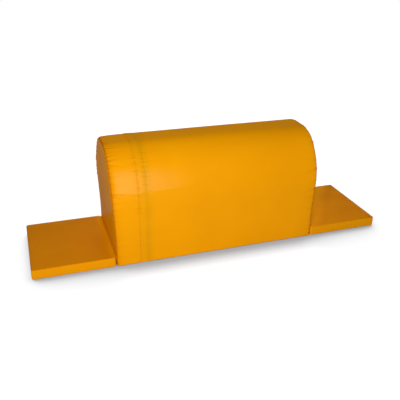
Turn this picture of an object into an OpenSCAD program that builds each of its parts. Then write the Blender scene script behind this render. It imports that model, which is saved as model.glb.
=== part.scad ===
// Soft pommel horse: a foam block with a rounded top in a zipped vinyl cover, and two foam mats
// hinged to its ends. The origin is on the floor in the middle of the footprint. +X runs along
// the horse, -Y is the front and +Z is up. All sizes are in millimetres.

/* [Horse] */
// Length of the horse over its end panels
horse_l = 1020; // [700:10:1500]
// Width of the horse and its mats, front to back
horse_w = 450; // [300:5:600]
// Height of the horse
horse_h = 550; // [400:5:800]
// Height of the straight side, below the rounded shoulder
side_h = 290; // [160:5:360]
// Width of the flat crest between the two shoulders
crest_w = 84; // [20:2:160]
// Height of the firm lower foam block
base_foam_h = 250; // [100:5:350]
// How far the end panels swell outwards
end_swell = 5; // [1:0.5:8]

/* [Mats] */
// Length of a mat, along the horse
mat_l = 384; // [300:2:480]
// Thickness of a mat at its edge
mat_t = 50; // [40:1:80]
// Radius of a mat's corners, seen from above
mat_corner_r = 10; // [4:1:30]
// How far the top of a mat swells upwards
mat_swell = 3; // [0.5:0.5:4]

/* [Cover] */
// Thickness of the vinyl
vinyl_t = 1; // [0.6:0.1:1.6]
// Space between the foam and its cover
foam_gap = 0.2; // [0.1:0.1:0.8]

/* [Hinges] */
// Height of a hinge strip's leaf
leaf_h = 30; // [15:1:36]
// Distance from the end of a hinge strip to the side of the mat
leaf_margin = 12; // [5:1:40]
// Radius of the rolled fold between the two leaves
fold_r = 0.9; // [0.7:0.1:1.5]
// Running space round the fold
fold_gap = 0.3; // [0.2:0.1:0.6]

/* [Zips] */
// Distance from the left end of the horse to the middle of its zip
zip_from_end = 134; // [90:1:300]
// Distance from the end of a mat's zip to the end of the mat
mat_zip_margin = 47; // [30:1:120]
// Width of the closed chain of teeth
chain_w = 6; // [5:0.5:8]
// Thickness of the closed chain of teeth
chain_t = 2.4; // [2:0.1:3]
// Width of both zip tapes together
tape_w = 32; // [26:1:36]
// Thickness of a zip tape
tape_t = 0.8; // [0.5:0.1:1.2]
// Length of a slider
slider_l = 14; // [12:0.5:20]
// Width of a slider
slider_w = 11; // [10:0.5:14]
// Thickness of a slider's outer and inner plates
slider_plate_t = 1; // [0.8:0.1:1.5]
// Length of a pull tab, from its pivot
pull_l = 28; // [20:1:40]
// Width of a pull tab
pull_w = 7; // [6:0.5:10]
// Thickness of a pull tab
pull_t = 1; // [0.8:0.1:1.2]
// Running space in and around a slider
zip_gap = 0.3; // [0.2:0.05:0.5]
// Height of the horse's slider above the floor when its zip is closed
slider_park_h = 46; // [42:1:120]

/* [Flap] */
// Width of the flap over the horse's zip
flap_w = 42; // [34:1:60]
// How far the middle of the flap swells off the cover
flap_swell = 1; // [0.5:0.5:5]

/* [Hidden] */
$fn = 32;

vinyl = "orange";
foam = "lemonchiffon";
grip_cloth = "dimgray";
tape_cloth = "goldenrod";
nylon = "gold";
metal = "silver";

// Steps along the curves and swollen panels
shoulder_steps = 16;
corner_steps = 4;
plate_rows_mid = 8;
plate_cols = 12;
end_rows = 7;
flap_cols = 8;

// The horse's section, seen from its end
shoulder_w = (horse_w - crest_w) / 2;
shoulder_h = horse_h - side_h;
foam_inset = vinyl_t + foam_gap;
left_end = -horse_l / 2;

// The hinges: both leaves hang in the joint, and the mat turns about the fold above them
leaf_t = vinyl_t;
fold_sink = leaf_t / 3;
hinge_x = horse_l / 2 + leaf_t + fold_r - fold_sink;
hinge_z = mat_t;
mat_near = hinge_x + fold_r + fold_gap + leaf_t;
mat_mid = mat_near + mat_l / 2;
leaf_w = horse_w - 2 * leaf_margin;
// The end panels are flat up to a little above the hinges, and swell from there
swell_clear = 8;
swell_start = mat_t + swell_clear;

// The zips: depths are measured inwards from the face of the cover
mat_zip_l = mat_l - 2 * mat_zip_margin;
zip_depth = vinyl_t + tape_t / 2;
slider_t = chain_t + 2 * zip_gap + 2 * slider_plate_t;
slider_r = 2;
slit_w = slider_w + 2;
post_l = 3;
post_w = 2;
post_inset = 1;
chain_start = -slider_l / 2 + post_inset + post_l + zip_gap;
stop_l = 3;
stop_t = chain_t + 2 * zip_gap;
zip_tail = 14;
relief_gap = 0.5;
bail_w = 1.6;
bail_span = 5.8;
bail_t = 0.8;
pin_r = 0.6;
pull_z = slider_t / 2 + zip_gap + pin_r;
window_w = 2 * (bail_w / 2 + zip_gap + 0.2);
window_l = bail_span / 2 + 2;
neck_w = window_w + 2.4;
zip_x = left_end + zip_from_end;
// Clear height of the zip and the flap above the base panel at the front
foot_gap = 3;
flap_lift = 0.1;

// Where the joints are, and how far the mats' sliders travel
echo(hinge_x = hinge_x, hinge_z = hinge_z, mat_near = mat_near, mat_mid = mat_mid);
echo(zip_x = zip_x, zip_depth = zip_depth, pull_z = pull_z, mat_travel = mat_zip_l - slider_l);

// Lists and outlines

function backwards(list) = [for (i = [len(list) - 1:-1:0]) list[i]];

// One quarter ellipse of the shoulder, from the side up to the crest, as [y, z]
function shoulder(inset) = [
    for (k = [0:shoulder_steps])
    let (turn = 90 * k / shoulder_steps)
    [crest_w / 2 + (shoulder_w - inset) * cos(turn), side_h + (shoulder_h - inset) * sin(turn)]
];

// The open line over the horse, from the foot of its front to the foot of its back
function arch(inset, front_z, back_z) = concat(
    [[inset - horse_w / 2, front_z]],
    [for (p = shoulder(inset)) [-p[0], p[1]]],
    backwards(shoulder(inset)),
    [[horse_w / 2 - inset, back_z]]
);

// Rows across a plate with rounded corners, as [place along it, half its width there]
function plate_rows(l, w, r) = concat(
    [for (k = [0:corner_steps])
        let (turn = 90 * k / corner_steps)
        [r - l / 2 - r * cos(turn), w / 2 - r + r * sin(turn)]],
    [for (k = [1:plate_rows_mid - 1]) [(l - 2 * r) * (k / plate_rows_mid - 0.5), w / 2]],
    [for (k = [corner_steps:-1:0])
        let (turn = 90 * k / corner_steps)
        [l / 2 - r + r * cos(turn), w / 2 - r + r * sin(turn)]]
);

// Rows up an end panel, close enough together on the straight side to let it swell
function end_panel_rows() = concat(
    [[vinyl_t, horse_w / 2]],
    [for (k = [0:end_rows - 1])
        [swell_start + (side_h - swell_start) * k / end_rows, horse_w / 2]],
    [for (p = shoulder(0)) [p[1], p[0]]]
);

// Building blocks

// The outline that a plate's rows enclose
module plate_outline(rows) {
    polygon(concat(
        [for (row = rows) [row[0], row[1]]],
        [for (row = backwards(rows)) [row[0], -row[1]]]
    ));
}

// A closed solid between two grids of points, the upper one facing along row x column
module grid_solid(upper, lower, rows, cols) {
    shift = rows * (cols + 1);
    function at(i, j) = i * (cols + 1) + j;
    function both(a, b, c, d) = [[a, b, c], [a, c, d]];
    skins = [
        for (i = [0:rows - 2], j = [0:cols - 1])
        let (a = at(i, j), b = at(i + 1, j), c = at(i + 1, j + 1), d = at(i, j + 1))
        each concat(both(a, d, c, b), both(a + shift, b + shift, c + shift, d + shift))
    ];
    sides = [
        for (i = [0:rows - 2])
        let (a = at(i, 0), b = at(i + 1, 0), c = at(i, cols), d = at(i + 1, cols))
        each concat(both(a, b, b + shift, a + shift), both(c, c + shift, d + shift, d))
    ];
    ends = [
        for (j = [0:cols - 1])
        let (a = at(0, j), b = at(0, j + 1), c = at(rows - 1, j), d = at(rows - 1, j + 1))
        each concat(both(a, a + shift, b + shift, b), both(c, d, d + shift, c + shift))
    ];
    polyhedron(concat(upper, lower), concat(skins, sides, ends), convexity = 6);
}

// A vinyl panel on the given rows that swells by the given height between two places along it
module swollen_panel(rows, swell, from, to) {
    function rise(u, x) = swell * (1 - u * u) * sin(180 * max(0, min(1, (x - from) / (to - from))));
    function skin(z) = [
        for (row = rows, j = [0:plate_cols])
        let (u = 2 * j / plate_cols - 1)
        [row[0], u * row[1], z + rise(u, row[0])]
    ];
    grid_solid(skin(0), skin(-vinyl_t), len(rows), plate_cols);
}

// Stretches a flat shape in [y, z] along X
module along_x(from, to) {
    translate([from, 0, 0])
        rotate([90, 0, 90])
            linear_extrude(to - from)
                children();
}

// A band laid over the horse between two depths
module arch_band(from, to, outer, inner, front_z, back_z) {
    along_x(from, to)
        polygon(concat(arch(outer, front_z, back_z), backwards(arch(inner, front_z, back_z))));
}

// Turns what is drawn at the right end of the horse into its mirror image at the left end
module at_end(side) {
    if (side < 0) mirror([1, 0, 0]) children();
    else children();
}

// Zip frames: x is the way the slider travels as it opens, z points out of the cover, and the
// middle of the chain runs through the origin, where the slider is parked
module at_horse_zip() {
    translate([zip_x, horse_w / 2 - zip_depth, slider_park_h])
        rotate([-90, -90, 0])
            children();
}

module at_mat_zip(side) {
    at_end(side)
        translate([mat_mid + mat_zip_l / 2 - slider_l / 2, horse_w / 2 - zip_depth, mat_t / 2])
            rotate([90, 0, 180])
                children();
}

// Horse: foam

module zip_relief() {
    tape_deep = zip_depth + tape_t / 2 + relief_gap;
    slider_deep = zip_depth + slider_t / 2 + relief_gap;
    arch_band(zip_x - tape_w / 2 - relief_gap, zip_x + tape_w / 2 + relief_gap, 0, tape_deep, 0, 0);
    arch_band(zip_x - slit_w / 2, zip_x + slit_w / 2, 0, slider_deep, 0, 0);
}

module horse_foam(from_z, to_z) {
    color(foam)
        difference() {
            intersection() {
                along_x(left_end + foam_inset, -left_end - foam_inset)
                    polygon(arch(foam_inset, 0, 0));
                translate([left_end, -horse_w / 2, from_z])
                    cube([horse_l, horse_w, to_z - from_z]);
            }
            zip_relief();
        }
}

module horse_base_foam() {
    horse_foam(vinyl_t, base_foam_h);
}

module horse_top_foam() {
    horse_foam(base_foam_h, horse_h);
}

// Horse: cover

module horse_base_panel() {
    color(grip_cloth)
        translate([left_end, -horse_w / 2, 0])
            cube([horse_l, horse_w, vinyl_t]);
}

module horse_short_wrap() {
    color(vinyl)
        arch_band(left_end + vinyl_t, zip_x - slit_w / 2, 0, vinyl_t, vinyl_t, vinyl_t);
}

module horse_long_wrap() {
    color(vinyl)
        arch_band(zip_x + slit_w / 2, -left_end - vinyl_t, 0, vinyl_t, vinyl_t, vinyl_t);
}

module horse_end_panel(side) {
    color(vinyl)
        at_end(-side)
            translate([left_end, 0, 0])
                rotate([0, -90, 0])
                    swollen_panel(end_panel_rows(), end_swell, swell_start, horse_h);
}

// The flap over the zip, from the foot of the front to the back shoulder
module horse_zip_flap() {
    function lift(u) = flap_lift + flap_swell * (1 - u * u);
    function line(u, out) = arch(-lift(u) - out, vinyl_t + foot_gap, side_h);
    steps = len(line(0, 0)) - 1;
    function skin(out) = [
        for (i = [0:steps - 1], j = [0:flap_cols])
        let (u = 1 - 2 * j / flap_cols, p = line(u, out)[i])
        [zip_x + u * flap_w / 2, p[0], p[1]]
    ];
    color(vinyl)
        grid_solid(skin(vinyl_t), skin(0), steps, flap_cols);
}

// Horse: zip

module horse_zip_tapes() {
    foot = vinyl_t + foot_gap;
    tail = slider_park_h - slider_l / 2 - zip_tail;
    color(tape_cloth)
        for (edge = [-tape_w / 2, chain_w / 2])
            arch_band(zip_x + edge, zip_x + edge + (tape_w - chain_w) / 2,
                vinyl_t, vinyl_t + tape_t, foot, tail);
}

module horse_zip_chain() {
    color(nylon)
        arch_band(zip_x - chain_w / 2, zip_x + chain_w / 2,
            zip_depth - chain_t / 2, zip_depth + chain_t / 2,
            vinyl_t + foot_gap + stop_l, slider_park_h + chain_start);
}

// A stop fills the lane of the chain between the two tapes
module zip_stop() {
    color(metal)
        translate([0, -chain_w / 2, -stop_t / 2])
            cube([stop_l, chain_w, stop_t]);
}

module horse_zip_stops() {
    at_horse_zip()
        translate([-slider_l / 2 - zip_gap - stop_l, 0, 0])
            zip_stop();
    mirror([0, 1, 0])
        at_horse_zip()
            translate([vinyl_t + foot_gap - slider_park_h, 0, 0])
                zip_stop();
}

// The slider's two plates are joined only by the post that parts the teeth
module zip_slider() {
    lane_w = chain_w + 2 * zip_gap;
    lane_t = chain_t + 2 * zip_gap;
    slot_t = tape_t + 2 * zip_gap;
    bridge_z = pull_z + pin_r + zip_gap;
    color(metal) {
        difference() {
            linear_extrude(slider_t, center = true)
                plate_outline(plate_rows(slider_l, slider_w, slider_r));
            difference() {
                union() {
                    cube([2 * slider_l, lane_w, lane_t], center = true);
                    cube([2 * slider_l, 2 * slider_w, slot_t], center = true);
                }
                translate([-slider_l / 2 + post_inset, -post_w / 2, -slider_t / 2])
                    cube([post_l, post_w, slider_t]);
            }
        }
        translate([-bail_span / 2, -bail_w / 2, bridge_z])
            cube([bail_span, bail_w, bail_t]);
        for (x = [-bail_span / 2, bail_span / 2 - bail_t])
            translate([x, -bail_w / 2, slider_t / 2 - slider_plate_t / 2])
                cube([bail_t, bail_w, bridge_z + bail_t - slider_t / 2 + slider_plate_t / 2]);
    }
}

// The pull tab hangs by a round pin under the slider's bail, with a window for the bail's foot
module zip_pull() {
    tab_start = window_l + 1;
    tab_r = pull_w / 3;
    color(metal)
        translate([0, 0, pull_z])
            difference() {
                union() {
                    rotate([90, 0, 0])
                        cylinder(h = neck_w, r = pin_r, center = true);
                    translate([-window_l - pull_w / 2, -neck_w / 2, -pull_t / 2])
                        cube([window_l + pull_w / 2, neck_w, pull_t]);
                    translate([-(pull_l + tab_start) / 2, 0, -pull_t / 2])
                        linear_extrude(pull_t)
                            plate_outline(plate_rows(pull_l - tab_start, pull_w, tab_r));
                }
                translate([-window_l, -window_w / 2, -pull_t])
                    cube([window_l - pin_r * 0.9, window_w, 2 * pull_t]);
            }
}

module horse_zip_slider() {
    at_horse_zip() zip_slider();
}

module horse_zip_pull() {
    at_horse_zip() zip_pull();
}

// Hinges

module hinge_fixed_leaf(side) {
    color(vinyl)
        at_end(side)
            union() {
                translate([horse_l / 2, -leaf_w / 2, hinge_z - leaf_h])
                    cube([leaf_t, leaf_w, leaf_h + fold_r]);
                translate([hinge_x, 0, hinge_z])
                    rotate([90, 0, 0])
                        cylinder(h = leaf_w, r = fold_r, center = true);
            }
}

module hinge_mat_leaf(side) {
    color(vinyl)
        at_end(side)
            translate([mat_near - leaf_t, -leaf_w / 2, hinge_z - leaf_h])
                cube([leaf_t, leaf_w, leaf_h]);
}

// Mats

module at_mat(side) {
    at_end(side)
        translate([mat_mid, 0, 0])
            children();
}

function mat_rows(inset) =
    plate_rows(mat_l - 2 * inset, horse_w - 2 * inset, mat_corner_r - inset);

// Room behind the edge band for a mat's zip
module mat_zip_relief(side) {
    deep = slider_t / 2 + relief_gap;
    tape_deep = tape_t / 2 + relief_gap;
    at_mat_zip(side) {
        translate([-slider_l / 2 - zip_tail - relief_gap, -tape_w / 2 - relief_gap, -tape_deep])
            cube([mat_zip_l + 2 * (zip_tail + relief_gap), tape_w + 2 * relief_gap, tape_deep + zip_depth]);
        translate([-slider_l / 2 - stop_l - relief_gap, -slit_w / 2, -deep])
            cube([mat_zip_l + 2 * (stop_l + relief_gap), slit_w, deep + zip_depth]);
    }
}

module mat_foam(side) {
    color(foam)
        difference() {
            at_mat(side)
                translate([0, 0, vinyl_t])
                    linear_extrude(mat_t - 2 * vinyl_t - foam_gap)
                        plate_outline(mat_rows(foam_inset));
            mat_zip_relief(side);
        }
}

module mat_top_panel(side) {
    color(vinyl)
        at_mat(side)
            translate([0, 0, mat_t])
                swollen_panel(mat_rows(0), mat_swell, -mat_l / 2, mat_l / 2);
}

module mat_edge_band(side) {
    color(vinyl)
        difference() {
            at_mat(side)
                translate([0, 0, vinyl_t])
                    linear_extrude(mat_t - 2 * vinyl_t)
                        difference() {
                            plate_outline(mat_rows(0));
                            plate_outline(mat_rows(vinyl_t));
                        }
            at_mat_zip(side)
                translate([-slider_l / 2 - stop_l - relief_gap, -slit_w / 2, -zip_depth])
                    cube([mat_zip_l + 2 * (stop_l + relief_gap), slit_w, 4 * zip_depth]);
        }
}

module mat_base_panel(side) {
    color(grip_cloth)
        at_mat(side)
            linear_extrude(vinyl_t)
                plate_outline(mat_rows(0));
}

module mat_zip_tapes(side) {
    color(tape_cloth)
        at_mat_zip(side)
            for (edge = [-tape_w / 2, chain_w / 2])
                translate([-slider_l / 2 - zip_tail, edge, -tape_t / 2])
                    cube([mat_zip_l + 2 * zip_tail, (tape_w - chain_w) / 2, tape_t]);
}

module mat_zip_chain(side) {
    color(nylon)
        at_mat_zip(side)
            translate([chain_start, -chain_w / 2, -chain_t / 2])
                cube([mat_zip_l - slider_l / 2 - chain_start, chain_w, chain_t]);
}

module mat_zip_stops(side) {
    at_mat_zip(side)
        for (x = [-slider_l / 2 - zip_gap - stop_l, mat_zip_l - slider_l / 2])
            translate([x, 0, 0])
                zip_stop();
}

module mat_zip_slider(side) {
    at_mat_zip(side) zip_slider();
}

module mat_zip_pull(side) {
    at_mat_zip(side) zip_pull();
}

horse_base_foam();
horse_top_foam();
horse_base_panel();
horse_short_wrap();
horse_long_wrap();
horse_end_panel(-1);  // horse_left_end_panel
horse_end_panel(1);  // horse_right_end_panel
horse_zip_flap();
horse_zip_tapes();
horse_zip_chain();
horse_zip_stops();
horse_zip_slider();
horse_zip_pull();

hinge_fixed_leaf(-1);  // left_hinge_fixed_leaf
hinge_mat_leaf(-1);  // left_hinge_mat_leaf
mat_foam(-1);  // left_mat_foam
mat_top_panel(-1);  // left_mat_top_panel
mat_edge_band(-1);  // left_mat_edge_band
mat_base_panel(-1);  // left_mat_base_panel
mat_zip_tapes(-1);  // left_mat_zip_tapes
mat_zip_chain(-1);  // left_mat_zip_chain
mat_zip_stops(-1);  // left_mat_zip_stops
mat_zip_slider(-1);  // left_mat_zip_slider
mat_zip_pull(-1);  // left_mat_zip_pull

hinge_fixed_leaf(1);  // right_hinge_fixed_leaf
hinge_mat_leaf(1);  // right_hinge_mat_leaf
mat_foam(1);  // right_mat_foam
mat_top_panel(1);  // right_mat_top_panel
mat_edge_band(1);  // right_mat_edge_band
mat_base_panel(1);  // right_mat_base_panel
mat_zip_tapes(1);  // right_mat_zip_tapes
mat_zip_chain(1);  // right_mat_zip_chain
mat_zip_stops(1);  // right_mat_zip_stops
mat_zip_slider(1);  // right_mat_zip_slider
mat_zip_pull(1);  // right_mat_zip_pull
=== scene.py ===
# %% [markdown]
# # A soft pommel horse
# The object is a foam horse for children's gymnastics: a long block with a rounded top in a zipped
# vinyl cover, and a thin foam mat hinged to each end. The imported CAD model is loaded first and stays
# where it is. Each soft CAD solid is then replaced by a sewn piece with its own seams, folds and
# thread, made at the same place and size.

# %% Load the frame
import math
import random
import bmesh
import bpy
from mathutils import Matrix, Vector, noise


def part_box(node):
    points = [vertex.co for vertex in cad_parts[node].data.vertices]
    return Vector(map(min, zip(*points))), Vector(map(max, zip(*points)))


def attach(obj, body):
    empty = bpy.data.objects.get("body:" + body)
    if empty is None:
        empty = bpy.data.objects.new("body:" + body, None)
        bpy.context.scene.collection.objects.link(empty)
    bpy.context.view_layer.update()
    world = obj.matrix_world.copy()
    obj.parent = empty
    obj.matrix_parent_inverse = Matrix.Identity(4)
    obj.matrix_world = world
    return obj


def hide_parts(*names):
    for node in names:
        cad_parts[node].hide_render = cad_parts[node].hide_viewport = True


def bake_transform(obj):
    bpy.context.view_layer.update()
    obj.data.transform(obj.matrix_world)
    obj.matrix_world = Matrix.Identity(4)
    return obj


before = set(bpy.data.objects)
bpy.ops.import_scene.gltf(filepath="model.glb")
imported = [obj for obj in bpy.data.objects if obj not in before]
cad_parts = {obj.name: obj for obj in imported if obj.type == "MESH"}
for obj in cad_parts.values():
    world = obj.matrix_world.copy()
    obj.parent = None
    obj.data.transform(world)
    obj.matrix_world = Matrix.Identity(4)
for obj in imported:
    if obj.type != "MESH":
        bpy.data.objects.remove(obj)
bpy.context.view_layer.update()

SIDES = {-1: "left", 1: "right"}

# %% [markdown]
# ## Finishes
# A material is a small web of nodes. Patterns read the object's own coordinates, so a grain has the
# same size in millimetres on every piece. Helpers keep each finish to a few lines: a number is set on a
# socket, an output of another node is linked to it, and the patterns that most finishes share are one
# call each.

# %% Helpers for material nodes
def plug(tree, socket, value):
    """Links an output to a socket, or sets the socket to a plain value."""
    if isinstance(value, bpy.types.NodeSocket):
        tree.links.new(value, socket)
    else:
        socket.default_value = value


def set_inputs(tree, node, **inputs):
    """Sets or links inputs of a node. An input is named by its label, with _ for a space."""
    for key, value in inputs.items():
        plug(tree, node.inputs[key.replace("_", " ")], value)


def add_node(tree, kind, settings=None, **inputs):
    """Adds a shader node with its settings and its inputs."""
    node = tree.nodes.new("ShaderNode" + kind)
    for key, value in (settings or {}).items():
        setattr(node, key, value)
    set_inputs(tree, node, **inputs)
    return node


def maths(tree, operation, *values):
    """The output of a sum. Its values are numbers or outputs of other nodes."""
    node = add_node(tree, "Math", {"operation": operation})
    for socket, value in zip(node.inputs, values):
        plug(tree, socket, value)
    return node.outputs["Value"]


def new_material(name, **sockets):
    """A new material with one shader: the material, its node tree, its shader and its object coordinates."""
    material = bpy.data.materials.new(name)
    material.use_nodes = True
    tree = material.node_tree
    shader = tree.nodes["Principled BSDF"]
    set_inputs(tree, shader, **sockets)
    return material, tree, shader, add_node(tree, "TexCoord").outputs["Object"]


# %% Helpers for patterns
def cloud(tree, place, scale, detail, roughness=0.5):
    """A noise from 0 to 1."""
    node = add_node(tree, "TexNoise", Vector=place, Scale=scale, Detail=detail, Roughness=roughness)
    return node.outputs["Fac"]


def two_tone(tree, factor, low, high, start=0.3, end=0.7):
    """A soft change from one colour to another as the factor goes from start to end."""
    ramp = add_node(tree, "ValToRGB", Fac=factor)
    for step, place, tone in zip(ramp.color_ramp.elements, (start, end), (low, high)):
        step.position = place
        step.color = (*tone, 1)
    return ramp.outputs["Color"]


def spread_value(tree, value, low, high):
    """Turns a pattern that runs from 0 to 1 into a value that runs from low to high."""
    return add_node(tree, "MapRange", Value=value, To_Min=low, To_Max=high).outputs["Result"]


def bumped(tree, height, strength, distance, **under):
    """A surface that rises with a pattern. distance is the rise in metres."""
    node = add_node(tree, "Bump", Height=height, Strength=strength, Distance=distance, **under)
    return node.outputs["Normal"]


def attribute_share(tree, name):
    """An attribute that is written on the points of a piece."""
    return add_node(tree, "Attribute", {"attribute_name": name}).outputs["Fac"]


# %% [markdown]
# ## Vinyl
# The cover is coated fabric: a satin skin with a fine pebbled grain about a millimetre across. Its
# colour drifts a little over a whole panel. Attributes of a piece change it. The seam attribute darkens
# it: a dark line at each seam, with painted shade in the rolled edges, in the gathers' dents, along the
# stitch rows and in the groove above each mat. A band over the zip's flap is painted a little darker and
# greener as shade. The mats' tops are darker and redder, from tread dirt and painted shade, and are kept
# light where the horse's shadow falls, which is painted light. A thin clear coat gives the skin its
# crisp highlights. On the top of the horse, where children slide over, it is scuffed away.

# %% The vinyl finish
VINYL_DEEP, VINYL_PALE = (0.84, 0.322, 0.0003), (0.90, 0.352, 0.0005)
# The tints of the attributes: seam is a dark seam line with painted shade in creases, dents and grooves; the
# flap band is greener painted shade; on the mats, tread dirt and painted shade.
VINYL_TINTS = {
    "seam": (0.64, 0.42, 0.3, 1),
    "flap_band_shade": (0.88, 0.955, 0.9, 1),
    "tread_and_shade": (0.735, 0.63, 0.6, 1),
}
COAT, COAT_SCUFFED, COAT_ROUGHNESS = 0.09, 0.012, 0.07
PEBBLES, PORES, PORE_SHARE = 850, 2600, 0.4


def make_vinyl(name, slid_over):
    """Satin coated fabric with a fine grain. Attributes paint it darker at seams, with tread dirt and with
    painted shade, and the scuffed one takes away its gloss.
    """
    material, tree, shader, place = new_material(
        name, Specular_IOR_Level=0.015, Coat_Weight=COAT, Coat_Roughness=COAT_ROUGHNESS)
    if slid_over:
        coat = spread_value(tree, attribute_share(tree, "scuffed"), COAT, COAT_SCUFFED)
        set_inputs(tree, shader, Coat_Weight=coat)
    colour = two_tone(tree, cloud(tree, place, 3.5, 5, 0.55), VINYL_DEEP, VINYL_PALE)
    for change, tint in VINYL_TINTS.items():
        share = attribute_share(tree, change)
        mixed = add_node(tree, "MixRGB", {"blend_type": "MULTIPLY"}, Fac=share, Color1=colour, Color2=tint)
        colour = mixed.outputs["Color"]
    smooth = {"feature": "SMOOTH_F1"}
    pebble = add_node(tree, "TexVoronoi", smooth, Vector=place, Scale=PEBBLES, Smoothness=0.4)
    grain = maths(tree, "MULTIPLY_ADD", cloud(tree, place, PORES, 2), PORE_SHARE, pebble.outputs["Distance"])
    sheen = spread_value(tree, cloud(tree, place, 22, 3), 0.38, 0.52)
    set_inputs(tree, shader, Base_Color=colour, Roughness=sheen, Normal=bumped(tree, grain, 0.16, 0.0004))
    return material


vinyl = make_vinyl("vinyl_finish", False)
top_vinyl = make_vinyl("top_vinyl_finish", True)
print("made", vinyl.name, "and", top_vinyl.name)

# %% [markdown]
# ## The other finishes
# The base is a dark cloth with rubber dots that grip the floor, so its dots are a Voronoi pattern with
# no randomness. Foam has open cells. Zip tape and thread are woven, which two wave patterns across each
# other show, and the slider is plated metal with fine scratches.

# %% The base cloth and the foams
CLOTH_DARK, CLOTH_PALE, DOT_COLOUR = (0.020, 0.020, 0.022), (0.045, 0.045, 0.048), (0.012, 0.012, 0.013, 1)
DOTS = 166


def make_base_cloth():
    """Dark cloth with rubber dots every 6 mm."""
    material, tree, shader, place = new_material("grip_cloth_finish", Specular_IOR_Level=0.3)
    dots = add_node(tree, "TexVoronoi", {"voronoi_dimensions": "2D"}, Vector=place, Scale=DOTS, Randomness=0)
    dot = two_tone(tree, dots.outputs["Distance"], (1, 1, 1), (0, 0, 0), 0.27, 0.36)
    weave = cloud(tree, place, 900, 3)
    cloth = two_tone(tree, weave, CLOTH_DARK, CLOTH_PALE)
    colour = add_node(tree, "MixRGB", Fac=dot, Color1=cloth, Color2=DOT_COLOUR).outputs["Color"]
    raised = bumped(tree, dot, 0.8, 0.0006, Normal=bumped(tree, weave, 0.4, 0.0003))
    set_inputs(tree, shader, Base_Color=colour, Roughness=spread_value(tree, dot, 0.85, 0.5), Normal=raised)
    return material


def make_foam(name, dark, light, cells):
    """Open-celled foam. cells is how many pores there are to a metre."""
    material, tree, shader, place = new_material(name, Specular_IOR_Level=0.15, Roughness=0.95)
    pores = add_node(tree, "TexVoronoi", Vector=place, Scale=cells).outputs["Distance"]
    colour = two_tone(tree, pores, dark, light, 0.1, 0.5)
    set_inputs(tree, shader, Base_Color=colour, Normal=bumped(tree, pores, 0.7, 0.001))
    return material


base_cloth = make_base_cloth()
firm_foam = make_foam("firm_foam_finish", (0.5, 0.47, 0.37), (0.76, 0.73, 0.6), 700)
soft_foam = make_foam("soft_foam_finish", (0.6, 0.54, 0.38), (0.86, 0.8, 0.62), 520)

# %% The woven tape, thread, teeth and metal
def make_woven(name, dark, light, threads):
    """Threads one way over threads the other way. threads is how many there are to a metre."""
    material, tree, shader, place = new_material(
        name, Specular_IOR_Level=0.2, Roughness=0.8, Sheen_Weight=0.15)
    wales = []
    for direction in ("X", "Z"):
        wave = add_node(tree, "TexWave", {"bands_direction": direction}, Vector=place,
                        Scale=threads * math.pi / 10, Distortion=0.4)
        wales.append(wave.outputs["Fac"])
    mixed = add_node(tree, "MixRGB", {"blend_type": "MULTIPLY"}, Fac=0.8, Color1=wales[0], Color2=wales[1])
    weave = mixed.outputs["Color"]
    colour = two_tone(tree, weave, dark, light, 0.0, 0.8)
    set_inputs(tree, shader, Base_Color=colour, Normal=bumped(tree, weave, 0.5, 0.0002))
    return material


def make_nylon():
    """Moulded zip teeth, a little glossy."""
    material, tree, shader, place = new_material("zip_teeth_finish", Specular_IOR_Level=0.4)
    blotch = cloud(tree, place, 300, 2)
    colour = two_tone(tree, blotch, (0.55, 0.22, 0.004), (0.68, 0.29, 0.008))
    set_inputs(tree, shader, Base_Color=colour, Roughness=spread_value(tree, blotch, 0.3, 0.45))
    return material


def make_plated_metal():
    """Nickel plate with fine scratches that run along the piece."""
    material, tree, shader, place = new_material("plated_metal_finish", Metallic=1.0)
    stretched = add_node(tree, "Mapping", Vector=place, Scale=(3000, 3000, 200)).outputs["Vector"]
    scratch = cloud(tree, stretched, 1, 4)
    colour = two_tone(tree, scratch, (0.50, 0.49, 0.47), (0.66, 0.65, 0.62))
    set_inputs(tree, shader, Base_Color=colour, Roughness=spread_value(tree, scratch, 0.2, 0.42),
               Normal=bumped(tree, scratch, 0.15, 0.0001))
    return material


zip_tape = make_woven("zip_tape_finish", (0.42, 0.16, 0.002), (0.70, 0.29, 0.006), 1400)
thread = make_woven("thread_finish", (0.54, 0.17, 0.003), (0.80, 0.30, 0.010), 2600)
nylon = make_nylon()
metal = make_plated_metal()
print(len(bpy.data.materials), "materials with those of the frame")

# %% [markdown]
# ## Working by hand, in code
# Blender's operators act on all that is selected, and the frame's pieces are selected after loading. So
# every step starts by clearing the selection, and points, edges and faces are then picked by their
# place.

# %% Helpers for selecting
def leave_edit():
    """Goes back to object mode."""
    bpy.ops.object.mode_set(mode="OBJECT")


def start_clean():
    """Leaves edit mode and deselects everything."""
    if bpy.context.object and bpy.context.object.mode != "OBJECT":
        leave_edit()
    bpy.ops.object.select_all(action="DESELECT")


def take(piece):
    """Makes one piece the only selected one."""
    start_clean()
    bpy.context.view_layer.objects.active = piece
    piece.select_set(True)


def edit(piece, mode="VERT"):
    """Opens one piece in edit mode with nothing picked."""
    take(piece)
    bpy.ops.object.mode_set(mode="EDIT")
    bpy.ops.mesh.select_mode(type=mode)
    bpy.ops.mesh.select_all(action="DESELECT")


def pick_all():
    """Picks all of the piece in edit mode."""
    bpy.ops.mesh.select_all(action="SELECT")


def pick(piece, test):
    """Picks the points of the piece in edit mode whose place passes the test."""
    cage = bmesh.from_edit_mesh(piece.data)
    for point in cage.verts:
        point.select = bool(test(point.co))
    cage.select_flush_mode()
    bmesh.update_edit_mesh(piece.data)


def pick_more(piece, numbers):
    """Picks points by their numbers, and keeps those that are picked already."""
    cage = bmesh.from_edit_mesh(piece.data)
    cage.verts.ensure_lookup_table()
    for number in numbers:
        cage.verts[number].select = True
    cage.select_flush_mode()
    bmesh.update_edit_mesh(piece.data)


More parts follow.
